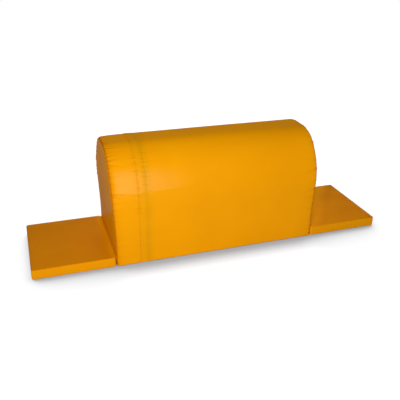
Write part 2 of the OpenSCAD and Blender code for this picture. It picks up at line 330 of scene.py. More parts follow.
def pick_edges(piece, test):
    """Picks the edges in edit mode whose two ends pass the test."""
    cage = bmesh.from_edit_mesh(piece.data)
    for line in cage.edges:
        line.select = bool(test(line.verts[0].co, line.verts[1].co))
    bmesh.update_edit_mesh(piece.data)


def pick_faces(piece, test):
    """Picks the faces of the piece in edit mode whose middle passes the test."""
    cage = bmesh.from_edit_mesh(piece.data)
    for face in cage.faces:
        face.select_set(bool(test(face.calc_center_median())))
    bmesh.update_edit_mesh(piece.data)


# %% Helpers for shaping
LYING_X, LYING_Y = (0, math.pi / 2, 0), (math.pi / 2, 0, 0)


def settle(size=(1, 1, 1)):
    """Gives the newest primitive its size and writes its place into its mesh."""
    piece = bpy.context.object
    piece.scale = size
    bpy.ops.object.transform_apply(location=True, rotation=True, scale=True)
    return piece


def extrude(move, times=1):
    """Extrudes what is picked, a number of times."""
    for _ in range(times):
        bpy.ops.mesh.extrude_region_move(TRANSFORM_OT_translate={"value": move})


def cut_away(piece, test):
    """Deletes the points of the piece in edit mode whose place passes the test."""
    pick(piece, test)
    bpy.ops.mesh.delete(type="VERT")


def turn_out():
    """Makes the faces of the piece in edit mode agree, and face outwards if it is closed."""
    pick_all()
    bpy.ops.mesh.normals_make_consistent(inside=False)


def face_to(sheet, facing):
    """Turns the faces of an open sheet to the side that facing(place) points to."""
    edit(sheet)
    turn_out()
    leave_edit()
    if sum(face.normal.dot(facing(face.center)) * face.area for face in sheet.data.polygons) < 0:
        sheet.data.flip_normals()


def use_modifier(piece, kind, **settings):
    """Adds a modifier, sets it and applies it."""
    take(piece)
    modifier = piece.modifiers.new(kind.title(), kind)
    for key, value in settings.items():
        setattr(modifier, key, value)
    bpy.ops.object.modifier_apply(modifier=modifier.name)


def thicken(sheet, thickness, offset=-1):
    """Gives a sheet its thickness, inwards unless the offset says otherwise."""
    use_modifier(sheet, "SOLIDIFY", thickness=thickness, offset=offset)


def join_pieces(pieces):
    """Joins pieces into the first one."""
    take(pieces[0])
    for piece in pieces[1:]:
        piece.select_set(True)
    bpy.ops.object.join()
    return pieces[0]


# %% Helpers for starting and handing in a piece
def new_block(size, middle, bevel=0, steps=1):
    """A block with eased edges."""
    start_clean()
    bpy.ops.mesh.primitive_cube_add(size=1, location=middle)
    block = settle(size)
    if bevel:
        use_modifier(block, "BEVEL", width=bevel, segments=steps)
    return block


def rounded_plane(size, middle, corner, steps):
    """A flat face with round corners, left in edit mode with all of it picked."""
    start_clean()
    bpy.ops.mesh.primitive_plane_add(size=1, location=middle)
    plane = settle((*size, 1))
    edit(plane)
    pick_all()
    bpy.ops.mesh.bevel(affect="VERTICES", offset=corner, segments=steps)
    pick_all()
    return plane


def hand_in(piece, name, body, material, nodes=(), smooth=40):
    """Names a finished piece, dresses it and hangs it on its body in place of CAD nodes."""
    take(piece)
    bpy.ops.object.shade_smooth_by_angle(angle=math.radians(smooth))
    piece.name = name
    piece.data.name = name
    piece.data.materials.clear()
    piece.data.materials.append(material)
    if body:
        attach(piece, body)
    if nodes:
        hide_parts(*nodes)
    print(f"{name}: {len(piece.data.polygons)} faces")
    return piece


# %% [markdown]
# ## The horse's section
# Cut across, the horse has straight sides, a shoulder on each side that is a quarter of an ellipse, and
# a narrow flat crest. Every cover piece follows this outline, so it is described once: the direction
# that faces out at a point of it, and how far round a point lies from the front foot.

# %% The section and its measures
HALF_L, HALF_W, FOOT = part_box("horse_base_panel")[1]
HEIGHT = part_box("horse_long_wrap")[1].z
SIDE = 0.290
CREST = 0.084
REACH = HALF_W - CREST / 2
RISE = HEIGHT - SIDE
TURN_RADIUS = (REACH + RISE) / 2
SHOULDER_END = SIDE + TURN_RADIUS * math.pi / 2
ROUND = 2 * SHOULDER_END + CREST


def outward(y, z):
    """The direction that faces out at a point of the section."""
    side = math.copysign(1, y)
    across = abs(y) - CREST / 2
    if z <= SIDE:
        return Vector((0, side, 0))
    if across <= 0:
        return Vector((0, 0, 1))
    return Vector((0, side * across / REACH ** 2, (z - SIDE) / RISE ** 2)).normalized()


def way_round(y, z):
    """How far round the section a point is, from the front foot."""
    across = abs(y) - CREST / 2
    if z <= SIDE:
        way = z
    elif across <= 0:
        way = SHOULDER_END - across
    else:
        way = SIDE + TURN_RADIUS * math.atan2((z - SIDE) / RISE, across / REACH)
    return way if y < 0 else ROUND - way


def point_round(way):
    """The place (y, z) on the section at a distance round it from the front foot."""
    back = way > ROUND / 2
    near = ROUND - way if back else way
    if near <= SIDE:
        y, z = HALF_W, near
    elif near >= SHOULDER_END:
        y, z = CREST / 2 - (near - SHOULDER_END), HEIGHT
    else:
        turn = (near - SIDE) / TURN_RADIUS
        y, z = CREST / 2 + REACH * math.cos(turn), SIDE + RISE * math.sin(turn)
    return (y, z) if back else (-y, z)


print(f"the cover is {ROUND:.3f} m round the section, from floor to floor")

# %% [markdown]
# ## A wire over the horse
# The cover pieces start as a wire of the section. A circle is added, its lower half is deleted, and
# what is left is stretched to the shoulders' size and parted at the crest. Its two ends are then
# extruded down to the floor, in short steps near the foot, where the vinyl turns under.

# %% The arch wire
SHOULDER_STEPS = 130
CREST_CUTS = 29
LEG_STEPS = 90
FOOT_ROLL = 0.003
FOOT_STEPS = (0.0012, 0.0008, 0.0006, 0.0004)


def arch_wire(x):
    """An open wire of the section at x, from the front foot over the top to the back foot."""
    start_clean()
    middle = (x, 0, SIDE)
    count = 4 * SHOULDER_STEPS
    bpy.ops.mesh.primitive_circle_add(vertices=count, radius=1, location=middle, rotation=LYING_X)
    wire = settle()
    edit(wire)
    pick_all()
    bpy.ops.transform.rotate(value=math.pi / count, orient_axis="X", center_override=middle)
    cut_away(wire, lambda p: p.z < SIDE)
    pick_all()
    bpy.ops.transform.resize(value=(1, REACH, RISE), center_override=middle)
    for side in SIDES:
        pick(wire, lambda p: p.y * side > 0)
        bpy.ops.transform.translate(value=(0, side * CREST / 2, 0))
    pick(wire, lambda p: abs(p.y) < CREST / 2 + 2 * REACH * math.sin(math.pi / count))
    bpy.ops.mesh.subdivide(number_cuts=CREST_CUTS)
    ends = RISE * math.sin(math.pi / count)
    pick(wire, lambda p: p.z < SIDE + 1.5 * ends)
    drop = (SIDE + ends - FOOT - sum(FOOT_STEPS)) / LEG_STEPS
    extrude((0, 0, -drop), LEG_STEPS)
    for step in FOOT_STEPS:
        extrude((0, 0, -step))
    return wire


def foot_inset(z):
    """How far the cover has turned under at a height above the floor."""
    left = max(FOOT_ROLL - (z - FOOT), 0)
    return FOOT_ROLL - math.sqrt(max(FOOT_ROLL ** 2 - left ** 2, 0))


# %% [markdown]
# ## Sewn edges
# A sewn cover is never sharp at its edge. The sheet rolls round over the foam, meets the next panel
# half way round and turns in to the seam, which leaves a crease. On the shoulders the cover is drawn
# tight over the foam's corner, so the roll is widest there.

# %% Rolled edges
ROLL, LEG_ROLL, SHOULDER_ROLL, ROLL_LIMIT = 0.008, 0.005, 0.011, 0.030
SWELL_FROM, LEG_ROLL_TO = 0.056, 0.14
SHOULDER_BIAS = 1.3
SEAM_TURN = math.radians(62)
SEAM_DEPTH = 0.0032
ROLL_STEPS = 6


def eased(share):
    """A smooth step from 0 to 1."""
    share = min(max(share, 0), 1)
    return share * share * (3 - 2 * share)


def roll_radius(way):
    """How wide the cover rolls at its end seams, at a place round the section."""
    near = min(way, ROUND - way)
    share = min(max((near - SIDE) / (SHOULDER_END - SIDE), 0), 1)
    leg = eased((near - SWELL_FROM) / (LEG_ROLL_TO - SWELL_FROM))
    return ROLL + LEG_ROLL * leg * (1 - share) + SHOULDER_ROLL * math.sin(math.pi * share ** SHOULDER_BIAS)


def rolled(radius, turn, dive=0):
    """Where a sheet is after a turn round its roll: (back from the edge, inset), dive deep in the seam."""
    back = radius * (1 - math.sin(turn)) + dive * math.sin(turn)
    return back, radius * (1 - math.cos(turn)) + dive * math.cos(turn)


def rim_turns(turn, depth):
    """The turns and dives of a panel that comes up out of its seam and rolls round to its flat."""
    turns = [(turn, depth), (turn, depth / 2)]
    for step in range(ROLL_STEPS + 1):
        turns.append((turn + (math.pi / 2 - turn) * step / ROLL_STEPS, 0))
    return turns


ROLL_TURNS = [(SEAM_TURN * step / ROLL_STEPS, 0) for step in range(ROLL_STEPS + 1)]
ROLL_TURNS += [(SEAM_TURN, SEAM_DEPTH / 2), (SEAM_TURN, SEAM_DEPTH)]

# %% [markdown]
# ## Gathers, hollows and the crown
# The thread gathers the vinyl at uneven steps: each gather is a short dent that starts at the seam and
# fades across the panel. Between the seams the cover lies over the foam in shallow hollows, and on the
# crest it is stuffed a little full.

# %% Gathers
GATHER_STEP, GATHER_WIDTH, GATHER_LENGTH, GATHER_SLANT = (0.55, 1.7), (0.16, 0.30), (0.5, 1.5), (-0.35, 0.35)
GATHER_DEPTH, DEPTH_BIAS = (0.25, 1), 1.5
GATHER_LEG = 0.03
GATHER_REACH, GATHER_START, GATHER_SPREAD, GATHER_CUT = 0.09, 0.004, 8, 3


def make_gathers(seed, step, depth, length, leg_share):
    """Gathers along a seam round the section: a list of (place, width, depth, length, slant)."""
    draw = random.Random(seed)
    gathers = []
    way = draw.uniform(0.5, 1) * step
    while way < ROUND:
        share = 1 if min(way, ROUND - way) > SIDE - GATHER_LEG else leg_share
        deep = depth * share * draw.uniform(*GATHER_DEPTH) ** DEPTH_BIAS
        width = draw.uniform(*GATHER_WIDTH) * step
        long = length * draw.uniform(*GATHER_LENGTH)
        gathers.append((way, width, deep, long, draw.uniform(*GATHER_SLANT)))
        way += step * draw.uniform(*GATHER_STEP)
    return gathers


def gathered(gathers, way, gap):
    """How far the gathers draw the vinyl in at a place round the section, gap away from the seam."""
    drawn = 0
    if gap < GATHER_REACH:
        for place, width, deep, length, slant in gathers:
            off = (way - place - slant * gap) / (width * (1 + GATHER_SPREAD * gap))
            if abs(off) < GATHER_CUT:
                drawn += deep * math.exp(-off * off - max(gap - GATHER_START, 0) / length)
    return drawn


END_GATHERS = {
    -1: make_gathers(11, 0.015, 0.0060, 0.016, 0.35),
    1: make_gathers(12, 0.022, 0.0044, 0.018, 0.9),
}
ROW_GATHERS = {
    -1: make_gathers(13, 0.018, 0.0030, 0.008, 0.4),
    1: make_gathers(14, 0.020, 0.0026, 0.012, 0.4),
}
print(sum(len(gathers) for gathers in (*END_GATHERS.values(), *ROW_GATHERS.values())), "gathers")

# %% Hollows and the crown
BROAD_HOLLOW, BROAD_SIZE = 0.0008, (0.30, 0.22)
SMALL_HOLLOW, SMALL_SIZE = 0.00025, (0.09, 0.07)
SMALL_SEED = 5
TOP_CROWN = {-1: 0.0070, 1: 0.0010}
CROWN_FALL = (0.05, 0.46)
CROWN_HALF = 0.15
CROWN_END = 0.06


def slack(x, way, seed):
    """The shallow hollows of a cover that lies over foam."""
    broad = noise.noise(Vector((x / BROAD_SIZE[0], way / BROAD_SIZE[1], seed)))
    small = noise.noise(Vector((x / SMALL_SIZE[0], way / SMALL_SIZE[1], seed + SMALL_SEED)))
    return BROAD_HOLLOW * broad + SMALL_HOLLOW * small


def crown(x, way):
    """How far the stuffed top stands above the flat crest, most on the left. The end seams hold it."""
    off = min(abs(way - ROUND / 2) / CROWN_HALF, 1)
    start, run = CROWN_FALL
    high = TOP_CROWN[-1] + (TOP_CROWN[1] - TOP_CROWN[-1]) * eased((x - start) / run)
    return high * (1 - off * off) ** 2 * eased((HALF_L - abs(x)) / CROWN_END)


# %% [markdown]
# ## Stuffed ends
# The base holds the foot of each end, but higher up the foam pushes the whole end out by a few
# millimetres. The lean grows with height slowly enough to leave room for the mat when it is folded up.

# %% The lean of the ends
END_LEAN = {-1: 0.009, 1: 0.010}
LEAN_FROM, LEAN_TO = 0.08, 0.42
LEAN_RUN = 0.09
CREST_PULL = {-1: 0, 1: 0.0055}
PULL_FROM = 0.52


def lean(x, z):
    """How far a point of the cover is pushed along x. The crest pulls the right end back a little."""
    side = 1 if x > 0 else -1
    out = END_LEAN[side] * eased((z - LEAN_FROM) / (LEAN_TO - LEAN_FROM))
    out -= CREST_PULL[side] * eased((z - PULL_FROM) / (HEIGHT - PULL_FROM))
    return side * out * eased((abs(x) - HALF_L + LEAN_RUN) / LEAN_RUN)


# %% [markdown]
# ## Wrap sheets
# A wrap is the wire extruded sideways once for each column. The extrusion gives even blank columns.
# Each column is then a rule that says where it lies at a place round the section: a place along the
# horse, an inset and how far it has turned towards the end. Gathers and hollows are added square to it.
# The sheet then gets its thickness, inwards.

# %% The sheet maker
VINYL = 0.001
BLANK = 0.01


def sweep(wire, count):
    """Extrudes a wire along x in even blank columns."""
    edit(wire)
    pick_all()
    extrude((BLANK, 0, 0), count - 1)
    leave_edit()


def wrap_sheet(columns, relief, thickness=VINYL):
    """A sheet over the horse. A column gives (x, inset, turn) at a way round, relief(x, way) the height."""
    sheet = arch_wire(0)
    sweep(sheet, len(columns))
    for point in sheet.data.vertices:
        y, z = point.co.y, point.co.z
        way = way_round(y, z)
        x, inset, turn = columns[round(point.co.x / BLANK)](way)
        rise = relief(x, way)
        out = rise * math.cos(turn) - inset - foot_inset(z)
        along = math.copysign(rise * math.sin(turn), x) + lean(x, z)
        point.co = Vector((x + along, y, z)) + outward(y, z) * out
    face_to(sheet, lambda p: outward(p.y, p.z))
    if thickness:
        thicken(sheet, thickness)
    return sheet


def level_column(x, inset=0):
    """A column that lies at one x all the way round."""
    return lambda way: (x, inset, 0)


def seam_columns(end):
    """Columns from the flat of the wrap over the roll into the seam, at the end on side -1 or 1."""
    def easing(share):
        return lambda way: (end * (HALF_L - ROLL_LIMIT + share * (ROLL_LIMIT - roll_radius(way))), 0, 0)

    def rolling(turn, dive):
        def column(way):
            back, inset = rolled(roll_radius(way), turn, dive)
            return end * (HALF_L - back), inset, turn
        return column

    return [easing(share) for share in (0, 0.33, 0.67)] + [rolling(*step) for step in ROLL_TURNS]


# %% Attributes that change the vinyl
SPECKLE = 0.012


def mark(piece, name, share_at):
    """Writes an attribute that changes the vinyl. share_at(place) is cut off at 1."""
    shares = piece.data.attributes.new(name, "FLOAT", "POINT")
    for point in piece.data.vertices:
        shares.data[point.index].value = min(share_at(point.co), 1)


def broken(place):
    """A share from 0 to 1 that comes and goes along a seam every centimetre or so."""
    return min(max(0.55 + 0.9 * noise.noise(Vector((3, place.y / SPECKLE, place.z / SPECKLE))), 0), 1)


def fading(gap, start, width):
    """1 up to a distance start from a seam, then less and less."""
    return math.exp(-max(gap - start, 0) / width)


# %% [markdown]
# ## The two wraps
# The cover's main piece runs from the zip to the right end, and a short one from the zip to the left
# end. Both are rolled and puckered at the end seam, and have a small turned edge beside the zip. The
# two rows of stitches that hold the flap draw them in a little too.

# %% Where the wraps lose their gloss, and the band of painted shade over the flap
def middle_of(node, axis):
    """The middle of a CAD node's box along an axis, 0 for x and 2 for z."""
    return sum(corner[axis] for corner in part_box(node)) / 2


ZIP_X = middle_of("horse_zip_chain", 0)
STITCH_ROW = 0.019
SCUFF_FROM, SCUFF_TO = 0.495, 0.53
# The band of painted shade over the flap and beside it.
FLAP_SHADE_LEFT, FLAP_SHADE_LEFT_RUN, FLAP_SHADE_DEEP = 0.024, 0.006, 0.016
FLAP_SHADE_FROM, FLAP_SHADE_TO, FLAP_SHADE_PATCH = 0.026, 0.058, 0.05


def scuffed_top(place):
    """The top of the horse, which has lost its gloss."""
    return eased((place.z - SCUFF_FROM) / (SCUFF_TO - SCUFF_FROM))


def painted_flap_band_shade(place):
    """A band of painted shade over the flap, darker and greener, deepest at its right edge, fading out to
    the right.
    """
    off = place.x - ZIP_X
    if off < 0:
        return 0.5 * eased((off + FLAP_SHADE_LEFT) / FLAP_SHADE_LEFT_RUN)
    deep = 0.5 + 0.5 * eased(off / FLAP_SHADE_DEEP)
    patchy = 0.85 + 0.3 * noise.noise(Vector([along / FLAP_SHADE_PATCH for along in place]))
    return deep * patchy * (1 - eased((off - FLAP_SHADE_FROM) / (FLAP_SHADE_TO - FLAP_SHADE_FROM)))


# %% The long and the short wrap
WRAP_EDGE = {-1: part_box("horse_short_wrap")[1].x, 1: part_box("horse_long_wrap")[0].x}
WRAP_SEED = {-1: 2, 1: 1}
TURNED = 0.0008
TURNED_EDGE = ((0.0003, 0.0008), (0, 0.0005), (0.0003, 0.00015), (TURNED, 0))
FINE, COARSE, COARSENING = 0.004, 0.022, 0.22
# Where the seam attribute darkens a wrap: a dark line at the end seam, painted shade on the broad rolled
# edge (more at the left end) and along the stitch rows, and painted shade in the gathers' dents, full at the
# given dent depths.
SEAM_LINE, EDGE_SHADE_SPAN, ROW_LINE = (0.003, 0.002), (0.006, 0.013), (0, 0.0015)
EDGE_SHADE, ROW_SHADE = {-1: 0.32, 1: 0.12}, {-1: 0.4, 1: 0.15}
END_DENT_SHADE, DENT_SHADE = 0.009, {-1: 0.010, 1: 0.030}


def places_between(start, stop):
    """Places from start to stop, close together near both ends and wide apart in the middle."""
    places = [start]
    while stop - places[-1] > FINE * 0.6:
        near = min(places[-1] - start, stop - places[-1])
        places.append(places[-1] + min(FINE + COARSENING * near, COARSE))
    places[-1] = stop
    return places


def wrap_relief(end, x, way):
    """How far the wrap at the side end (-1 or 1) stands off the section: hollows and crown, less gathers."""
    drawn = gathered(END_GATHERS[end], way, HALF_L - abs(x))
    drawn += gathered(ROW_GATHERS[end], way, abs(x - ZIP_X - end * STITCH_ROW))
    return slack(x, way, WRAP_SEED[end]) + crown(x, way) - drawn


def make_wrap(end):
    """A wrap from the end at the side end (-1 or 1) to its edge beside the zip."""
    zip_edge = WRAP_EDGE[end]
    start, stop = zip_edge + end * TURNED, end * (HALF_L - ROLL_LIMIT)
    columns = [level_column(zip_edge + end * back, inset) for back, inset in TURNED_EDGE]
    columns += [level_column(start + end * x) for x in places_between(0, abs(stop - start))[1:-1]]
    columns += seam_columns(end)

    # The seam attribute of a wrap: a dark seam line, with painted shade in the rolled edge, in the gathers'
    # dents and along the stitch rows.
    def seam_and_shade_at(place):
        x = place.x - lean(place.x, place.z)
        gap, row_off = HALF_L - abs(x), abs(x - ZIP_X - end * STITCH_ROW)
        way = way_round(place.y, place.z)
        seam_darkening = fading(gap, *SEAM_LINE) + EDGE_SHADE[end] * fading(gap, *EDGE_SHADE_SPAN)
        seam_darkening += gathered(END_GATHERS[end], way, gap) / END_DENT_SHADE
        seam_darkening += gathered(ROW_GATHERS[end], way, row_off) / DENT_SHADE[end]
        return seam_darkening + ROW_SHADE[end] * broken(place) * fading(row_off, *ROW_LINE)

    wrap = wrap_sheet(columns, lambda x, way: wrap_relief(end, x, way))
    # The wrap's attributes: the dark seam line with its painted shade, the band of painted shade over the
    # flap, and the scuffed top.
    mark(wrap, "seam", seam_and_shade_at)
    mark(wrap, "flap_band_shade", painted_flap_band_shade)
    mark(wrap, "scuffed", scuffed_top)
    return wrap


wraps = []
for end, name in ((1, "long"), (-1, "short")):
    wraps.append(make_wrap(end))
    hand_in(wraps[-1], name + "_wrap_vinyl", "horse", top_vinyl, ["horse_" + name + "_wrap"])

# %% [markdown]
# ## The end panels
# Each end is one panel sewn to the wrap all round. Its rim is swept from the wire as the wraps are, but
# with columns that lie inside each other: up out of the seam, round the roll and in across the flat.
# The last ring is closed along the floor and filled with a grid. The foam behind pushes the middle out
# a little, clear of the mat when it folds up. The panel is darker along its seam, a dark seam line with
# painted shade in the crease, and darker and redder at its foot, painted shade in the groove above the mat.

# %% The shape of an end
END_SWELL = 0.0025
TINY, HAIR = 1e-5, 1e-6


def edge_gap(y, z):
    """How far a point of the section lies inside its outline."""
    across = abs(y) - CREST / 2
    if z <= SIDE:
        return HALF_W - abs(y)
    if across <= 0:
        return HEIGHT - z
    share = math.hypot(across / REACH, (z - SIDE) / RISE)
    slope = math.hypot(across / REACH ** 2, (z - SIDE) / RISE ** 2) / max(share, HAIR)
    return (1 - share) / slope


def half_width(z):
    """Half the width of the section at a height."""
    climb = min(max((z - SIDE) / RISE, 0), 1)
    return CREST / 2 + REACH * math.sqrt(1 - climb ** 2)


def end_swell(y, z):
    """How far the foam pushes an end panel out at a point."""
    if z <= SWELL_FROM:
        return 0
    up = (z - SWELL_FROM) / (HEIGHT - SWELL_FROM)
    across = min(abs(y) / half_width(z), 1)
    return END_SWELL * (1 - across ** 2) * math.sin(math.pi * min(up, 1)) ** 2


# %% The end panels
BASE_CUTS = 41
PANEL_RINGS = (0.003, 0.008, 0.015, 0.024, 0.036)
PANEL_SEED = 4
# The rim's dark seam line with painted shade in its crease, and painted shade on the panel's foot, in the
# groove above the mat.
RIM_SEAM_SHADE, RIM_LINE = 0.8, (0.005, 0.003)
GROOVE_SHADE, GROOVE_LINE = 0.9, (0.053, 0.009)


def make_end_panel(side, seed):
    """The panel on the end at side -1 or 1."""
    turns = rim_turns(SEAM_TURN, SEAM_DEPTH)
    count = len(turns) + len(PANEL_RINGS)
    panel = arch_wire(0)
    sweep(panel, count)
    last_ring = []
    feet = []
    for point in panel.data.vertices:
        number = round(point.co.x / BLANK)
        y, z = point.co.y, point.co.z
        radius = roll_radius(way_round(y, z))
        if number < len(turns):
            turn = turns[number][0]
            back, inset = rolled(radius, *turns[number])
        else:
            turn = math.pi / 2
            back, inset = 0, radius + PANEL_RINGS[number - len(turns)]
        if number == count - 1:
            last_ring.append(point.index)
            if z < FOOT + TINY:
                feet.append(point.index)
        drawn = gathered(END_GATHERS[side], way_round(y, z), inset) if z > SWELL_FROM else 0
        back += drawn * math.sin(turn)
        inset += drawn * math.cos(turn)
        point.co = Vector((side * (HALF_L - back), y, z)) - outward(y, z) * inset
    edit(panel)
    pick_more(panel, feet)
    bpy.ops.mesh.edge_face_add()
    bpy.ops.mesh.subdivide(number_cuts=BASE_CUTS)
    pick_more(panel, last_ring)
    bpy.ops.mesh.fill_grid()
    leave_edit()
    for point in panel.data.vertices:
        y, z = point.co.y, point.co.z
        out = end_swell(y, z) + 0.5 * slack(y, z, seed) * eased((z - SWELL_FROM) / SWELL_FROM)
        point.co.x += side * out + lean(point.co.x, z)
    face_to(panel, lambda p: Vector((side, 0, 0)))
    thicken(panel, VINYL)
    # The seam attribute: the rim's seam line and crease shade, and painted shade in the groove at the foot.
    mark(panel, "seam", lambda p: RIM_SEAM_SHADE * fading(edge_gap(p.y, p.z), *RIM_LINE)
         + GROOVE_SHADE * fading(p.z, *GROOVE_LINE))
    return panel


for side, name in SIDES.items():
    end_panel = make_end_panel(side, PANEL_SEED + side)
    hand_in(end_panel, name + "_end_vinyl", "horse", vinyl, ["horse_" + name + "_end_panel"])

# %% [markdown]
# ## The flap over the zip
# A strip of vinyl lies over the zip so that no child touches the teeth. Its left edge is a folded hem
# and its right edge is sewn down, and each has a row of stitches that sinks into the foam. It is
# another sheet on the same wire, and its columns carry a height above the cover instead of an inset. It
# ends on the back, where the zip shows.

# %% The flap
FLAP_SECTION = (
    (-0.0228, -0.0002), (-0.0226, 0.0007), (-0.0218, 0.0012), (-0.0205, 0.0012), (-0.0190, 0.0005),
    (-0.0176, 0.0011), (-0.0150, 0.0014), (-0.0100, 0.0016), (-0.0050, 0.0017), (0.0000, 0.0017),
    (0.0050, 0.0016), (0.0100, 0.0014), (0.0140, 0.0011), (0.0170, 0.0008), (0.0190, 0.0005),
    (0.0204, 0.0006), (0.0216, 0.0006), (0.0222, 0.0002), (0.0224, -0.0003),
)
FLAP_CLOTH = 0.0006
FLAP_ROUND = ROUND - SIDE
FLAP_GATHER = 0.7
# Painted shade along the flap's two stitch rows.
FLAP_ROW_SHADE, FLAP_ROW_LINE = {-1: 0.5, 1: 0.15}, (0, 0.0013)


def row_gap(x):
    """How far a place is from the nearer row of stitches."""
    return abs(abs(x - ZIP_X) - STITCH_ROW)


def flap_relief(x, way):
    """The flap's hollows, which pass from those of one wrap to the other's, and the gathers at its rows."""
    share = eased((x - ZIP_X) / STITCH_ROW / 2 + 0.5)
    hollow = slack(x, way, WRAP_SEED[-1]) * (1 - share) + slack(x, way, WRAP_SEED[1]) * share
    drawn = gathered(ROW_GATHERS[-1 if x < ZIP_X else 1], way, row_gap(x))
    return hollow + crown(x, way) - FLAP_GATHER * drawn


def flap_seam_and_shade(place):
    """Painted shade in the gathers' dents and along the rows: a fine broken line at the hem, a faint one at
    the right edge.
    """
    side = -1 if place.x < ZIP_X else 1
    gap = row_gap(place.x)
    dent_darkening = gathered(ROW_GATHERS[side], way_round(place.y, place.z), gap) / DENT_SHADE[side]
    return dent_darkening + FLAP_ROW_SHADE[side] * broken(place) * fading(gap, *FLAP_ROW_LINE)


flap = wrap_sheet([level_column(ZIP_X + x, -height) for x, height in FLAP_SECTION], flap_relief, 0)
edit(flap)
cut_away(flap, lambda p: p.y > 0 and p.z < SIDE)
thicken(flap, FLAP_CLOTH)
# The flap's attributes: painted shade at its rows and dents, the band of painted shade over it, and the
# scuffed top.
mark(flap, "seam", flap_seam_and_shade)
mark(flap, "flap_band_shade", painted_flap_band_shade)
mark(flap, "scuffed", scuffed_top)
hand_in(flap, "zip_flap_vinyl", "horse", top_vinyl, ["horse_zip_flap"])

# %% [markdown]
# ## Thread
# A stitch is a short fat loop of thread that dips into the vinyl at both ends. One is shaped from a
# small sphere, and copies of it are set along a row, each turned to the row and to the surface.

# %% Stitches
STITCH = 0.0050
STITCH_SIZE = (0.0040, 0.0009, 0.0009)


def small_stitch():
    """One stitch at the origin, along x, with z facing out."""
    start_clean()
    bpy.ops.mesh.primitive_uv_sphere_add(segments=8, ring_count=5, radius=0.5, rotation=LYING_X)
    stitch = settle()
    edit(stitch)
    pick_all()
    bpy.ops.transform.resize(value=STITCH_SIZE)
    leave_edit()
    return stitch


def repeat(source, places):
    """Joins copies of a small piece into one mesh, a copy for each placing matrix."""
    points = []
    faces = []
    for place in places:
        first = len(points)
        points += [place @ point.co for point in source.data.vertices]
        faces += [[first + number for number in face.vertices] for face in source.data.polygons]
    mesh = bpy.data.meshes.new("copies")
    mesh.from_pydata(points, [], faces)
    copies = bpy.data.objects.new("copies", mesh)
    bpy.context.collection.objects.link(copies)
    bpy.data.objects.remove(source)
    return copies


def place_round(x, way, lift):
    """A placing matrix on the section: x runs round it, z faces out."""
    y, z = point_round(way)
    out = outward(y, z)
    run = Vector((1, 0, 0)).cross(out)
    turn = Matrix((run, out.cross(run), out)).transposed().to_4x4()
    return Matrix.Translation(Vector((x, y, z)) + out * lift) @ turn


def stitch_row(x, start, stop, height_at):
    """Placing matrices of a row of stitches at x, round the section from start to stop, at their heights."""
    ways = [start + (number + 0.5) * STITCH for number in range(int((stop - start) / STITCH))]
    return [place_round(x, way, height_at(x, way)) for way in ways]


# %% The rows on the horse
ROW_START, FLAP_END_GAP, ROW_HEIGHT = 0.008, 0.004, 0.0005
BACK_ROW, BACK_ROW_GAP = 0.0105, 0.002
flap_rows = []
back_rows = []
for end in SIDES:
    flap_rows += stitch_row(ZIP_X + end * STITCH_ROW, ROW_START, FLAP_ROUND - FLAP_END_GAP,
                            lambda x, way: ROW_HEIGHT + flap_relief(x, way))
    back_rows += stitch_row(ZIP_X + end * BACK_ROW, FLAP_ROUND + BACK_ROW_GAP, ROUND - ROW_START,
                            lambda x, way: wrap_relief(end, x, way))
hand_in(repeat(small_stitch(), flap_rows), "flap_stitches", "horse", thread)
hand_in(repeat(small_stitch(), back_rows), "zip_edge_stitches", "horse", thread)

# %% [markdown]
# ## The mats
# Each mat is a thin slab of foam in its own zipped cover. Its outline is a rectangle with small round
# corners: a plane whose corners are bevelled and whose long edges are cut into short ones. Only the
# wire is kept. Swept upwards it makes the edge band, and swept inwards it makes the top, as on the ends
# of the horse.

# %% The mat's outline
MAT_NEAR, MAT_FAR = (corner.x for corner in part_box("right_mat_edge_band"))
MAT_L = MAT_FAR - MAT_NEAR
MAT_MID = (MAT_FAR + MAT_NEAR) / 2
MAT_TOP = 0.050
MAT_CORNER = 0.010
CORNER_STEPS = 6
MAT_CUTS = (57, 67)


def mat_wire(middle):
    """A closed wire of a mat's outline on the floor, with its middle at middle on x."""
    wire = rounded_plane((MAT_L, 2 * HALF_W), (middle, 0, 0), MAT_CORNER, CORNER_STEPS)
    bpy.ops.mesh.delete(type="ONLY_FACE")
    bpy.ops.mesh.select_mode(type="EDGE")
    for axis, cuts in enumerate(MAT_CUTS):
        bpy.ops.mesh.select_all(action="DESELECT")
        pick_edges(wire, lambda a, b: abs(a[axis] - b[axis]) > MAT_L / 2)
        bpy.ops.mesh.subdivide(number_cuts=cuts)
    return wire


def mat_outward(place, middle):
    """The direction that faces out of a mat's outline at a point of it."""
    beyond_x = max(abs(place.x - middle) - (MAT_L / 2 - MAT_CORNER), 0)
    beyond_y = max(abs(place.y) - (HALF_W - MAT_CORNER), 0)
    out_x = math.copysign(beyond_x, place.x - middle)
    return Vector((out_x, math.copysign(beyond_y, place.y), 0)).normalized()


def mat_gap(place, middle):
    """How far a point lies inside a mat's outline."""
    return min(MAT_L / 2 - abs(place.x - middle), HALF_W - abs(place.y))


def sweep_rings(wire, rings, middle):
    """Extrudes a mat's wire once for each ring (height, inset). Gives the last ring's point numbers."""
    edit(wire)
    pick_all()
    extrude((0, 0, BLANK), len(rings) - 1)
    leave_edit()
    last_ring = []
    for point in wire.data.vertices:
        number = round(point.co.z / BLANK)
        height, inset = rings[number]
        if number == len(rings) - 1:
            last_ring.append(point.index)
        point.co -= mat_outward(point.co, middle) * inset
        point.co.z = height
    return last_ring


# %% [markdown]
# ## A mat's top
# Foam under a tight cover gives a low crown. Cloth simulation makes it: the rim is held, a little
# pressure blows the sheet up, and the move of each point is capped, because foam fills the cover and
# nothing balloons.

# %% Crown and gathers of a mat
MAT_GATHERS = make_gathers(15, 0.03, 0.0009, 0.012, 1)
CORNER_CLEAR = 0.03
CROWN = 0.0025
HINGE_HOLD, HELD_SHARE = 0.14, 0.2
PRESSURE = 4
CLOTH_FRAMES = 20


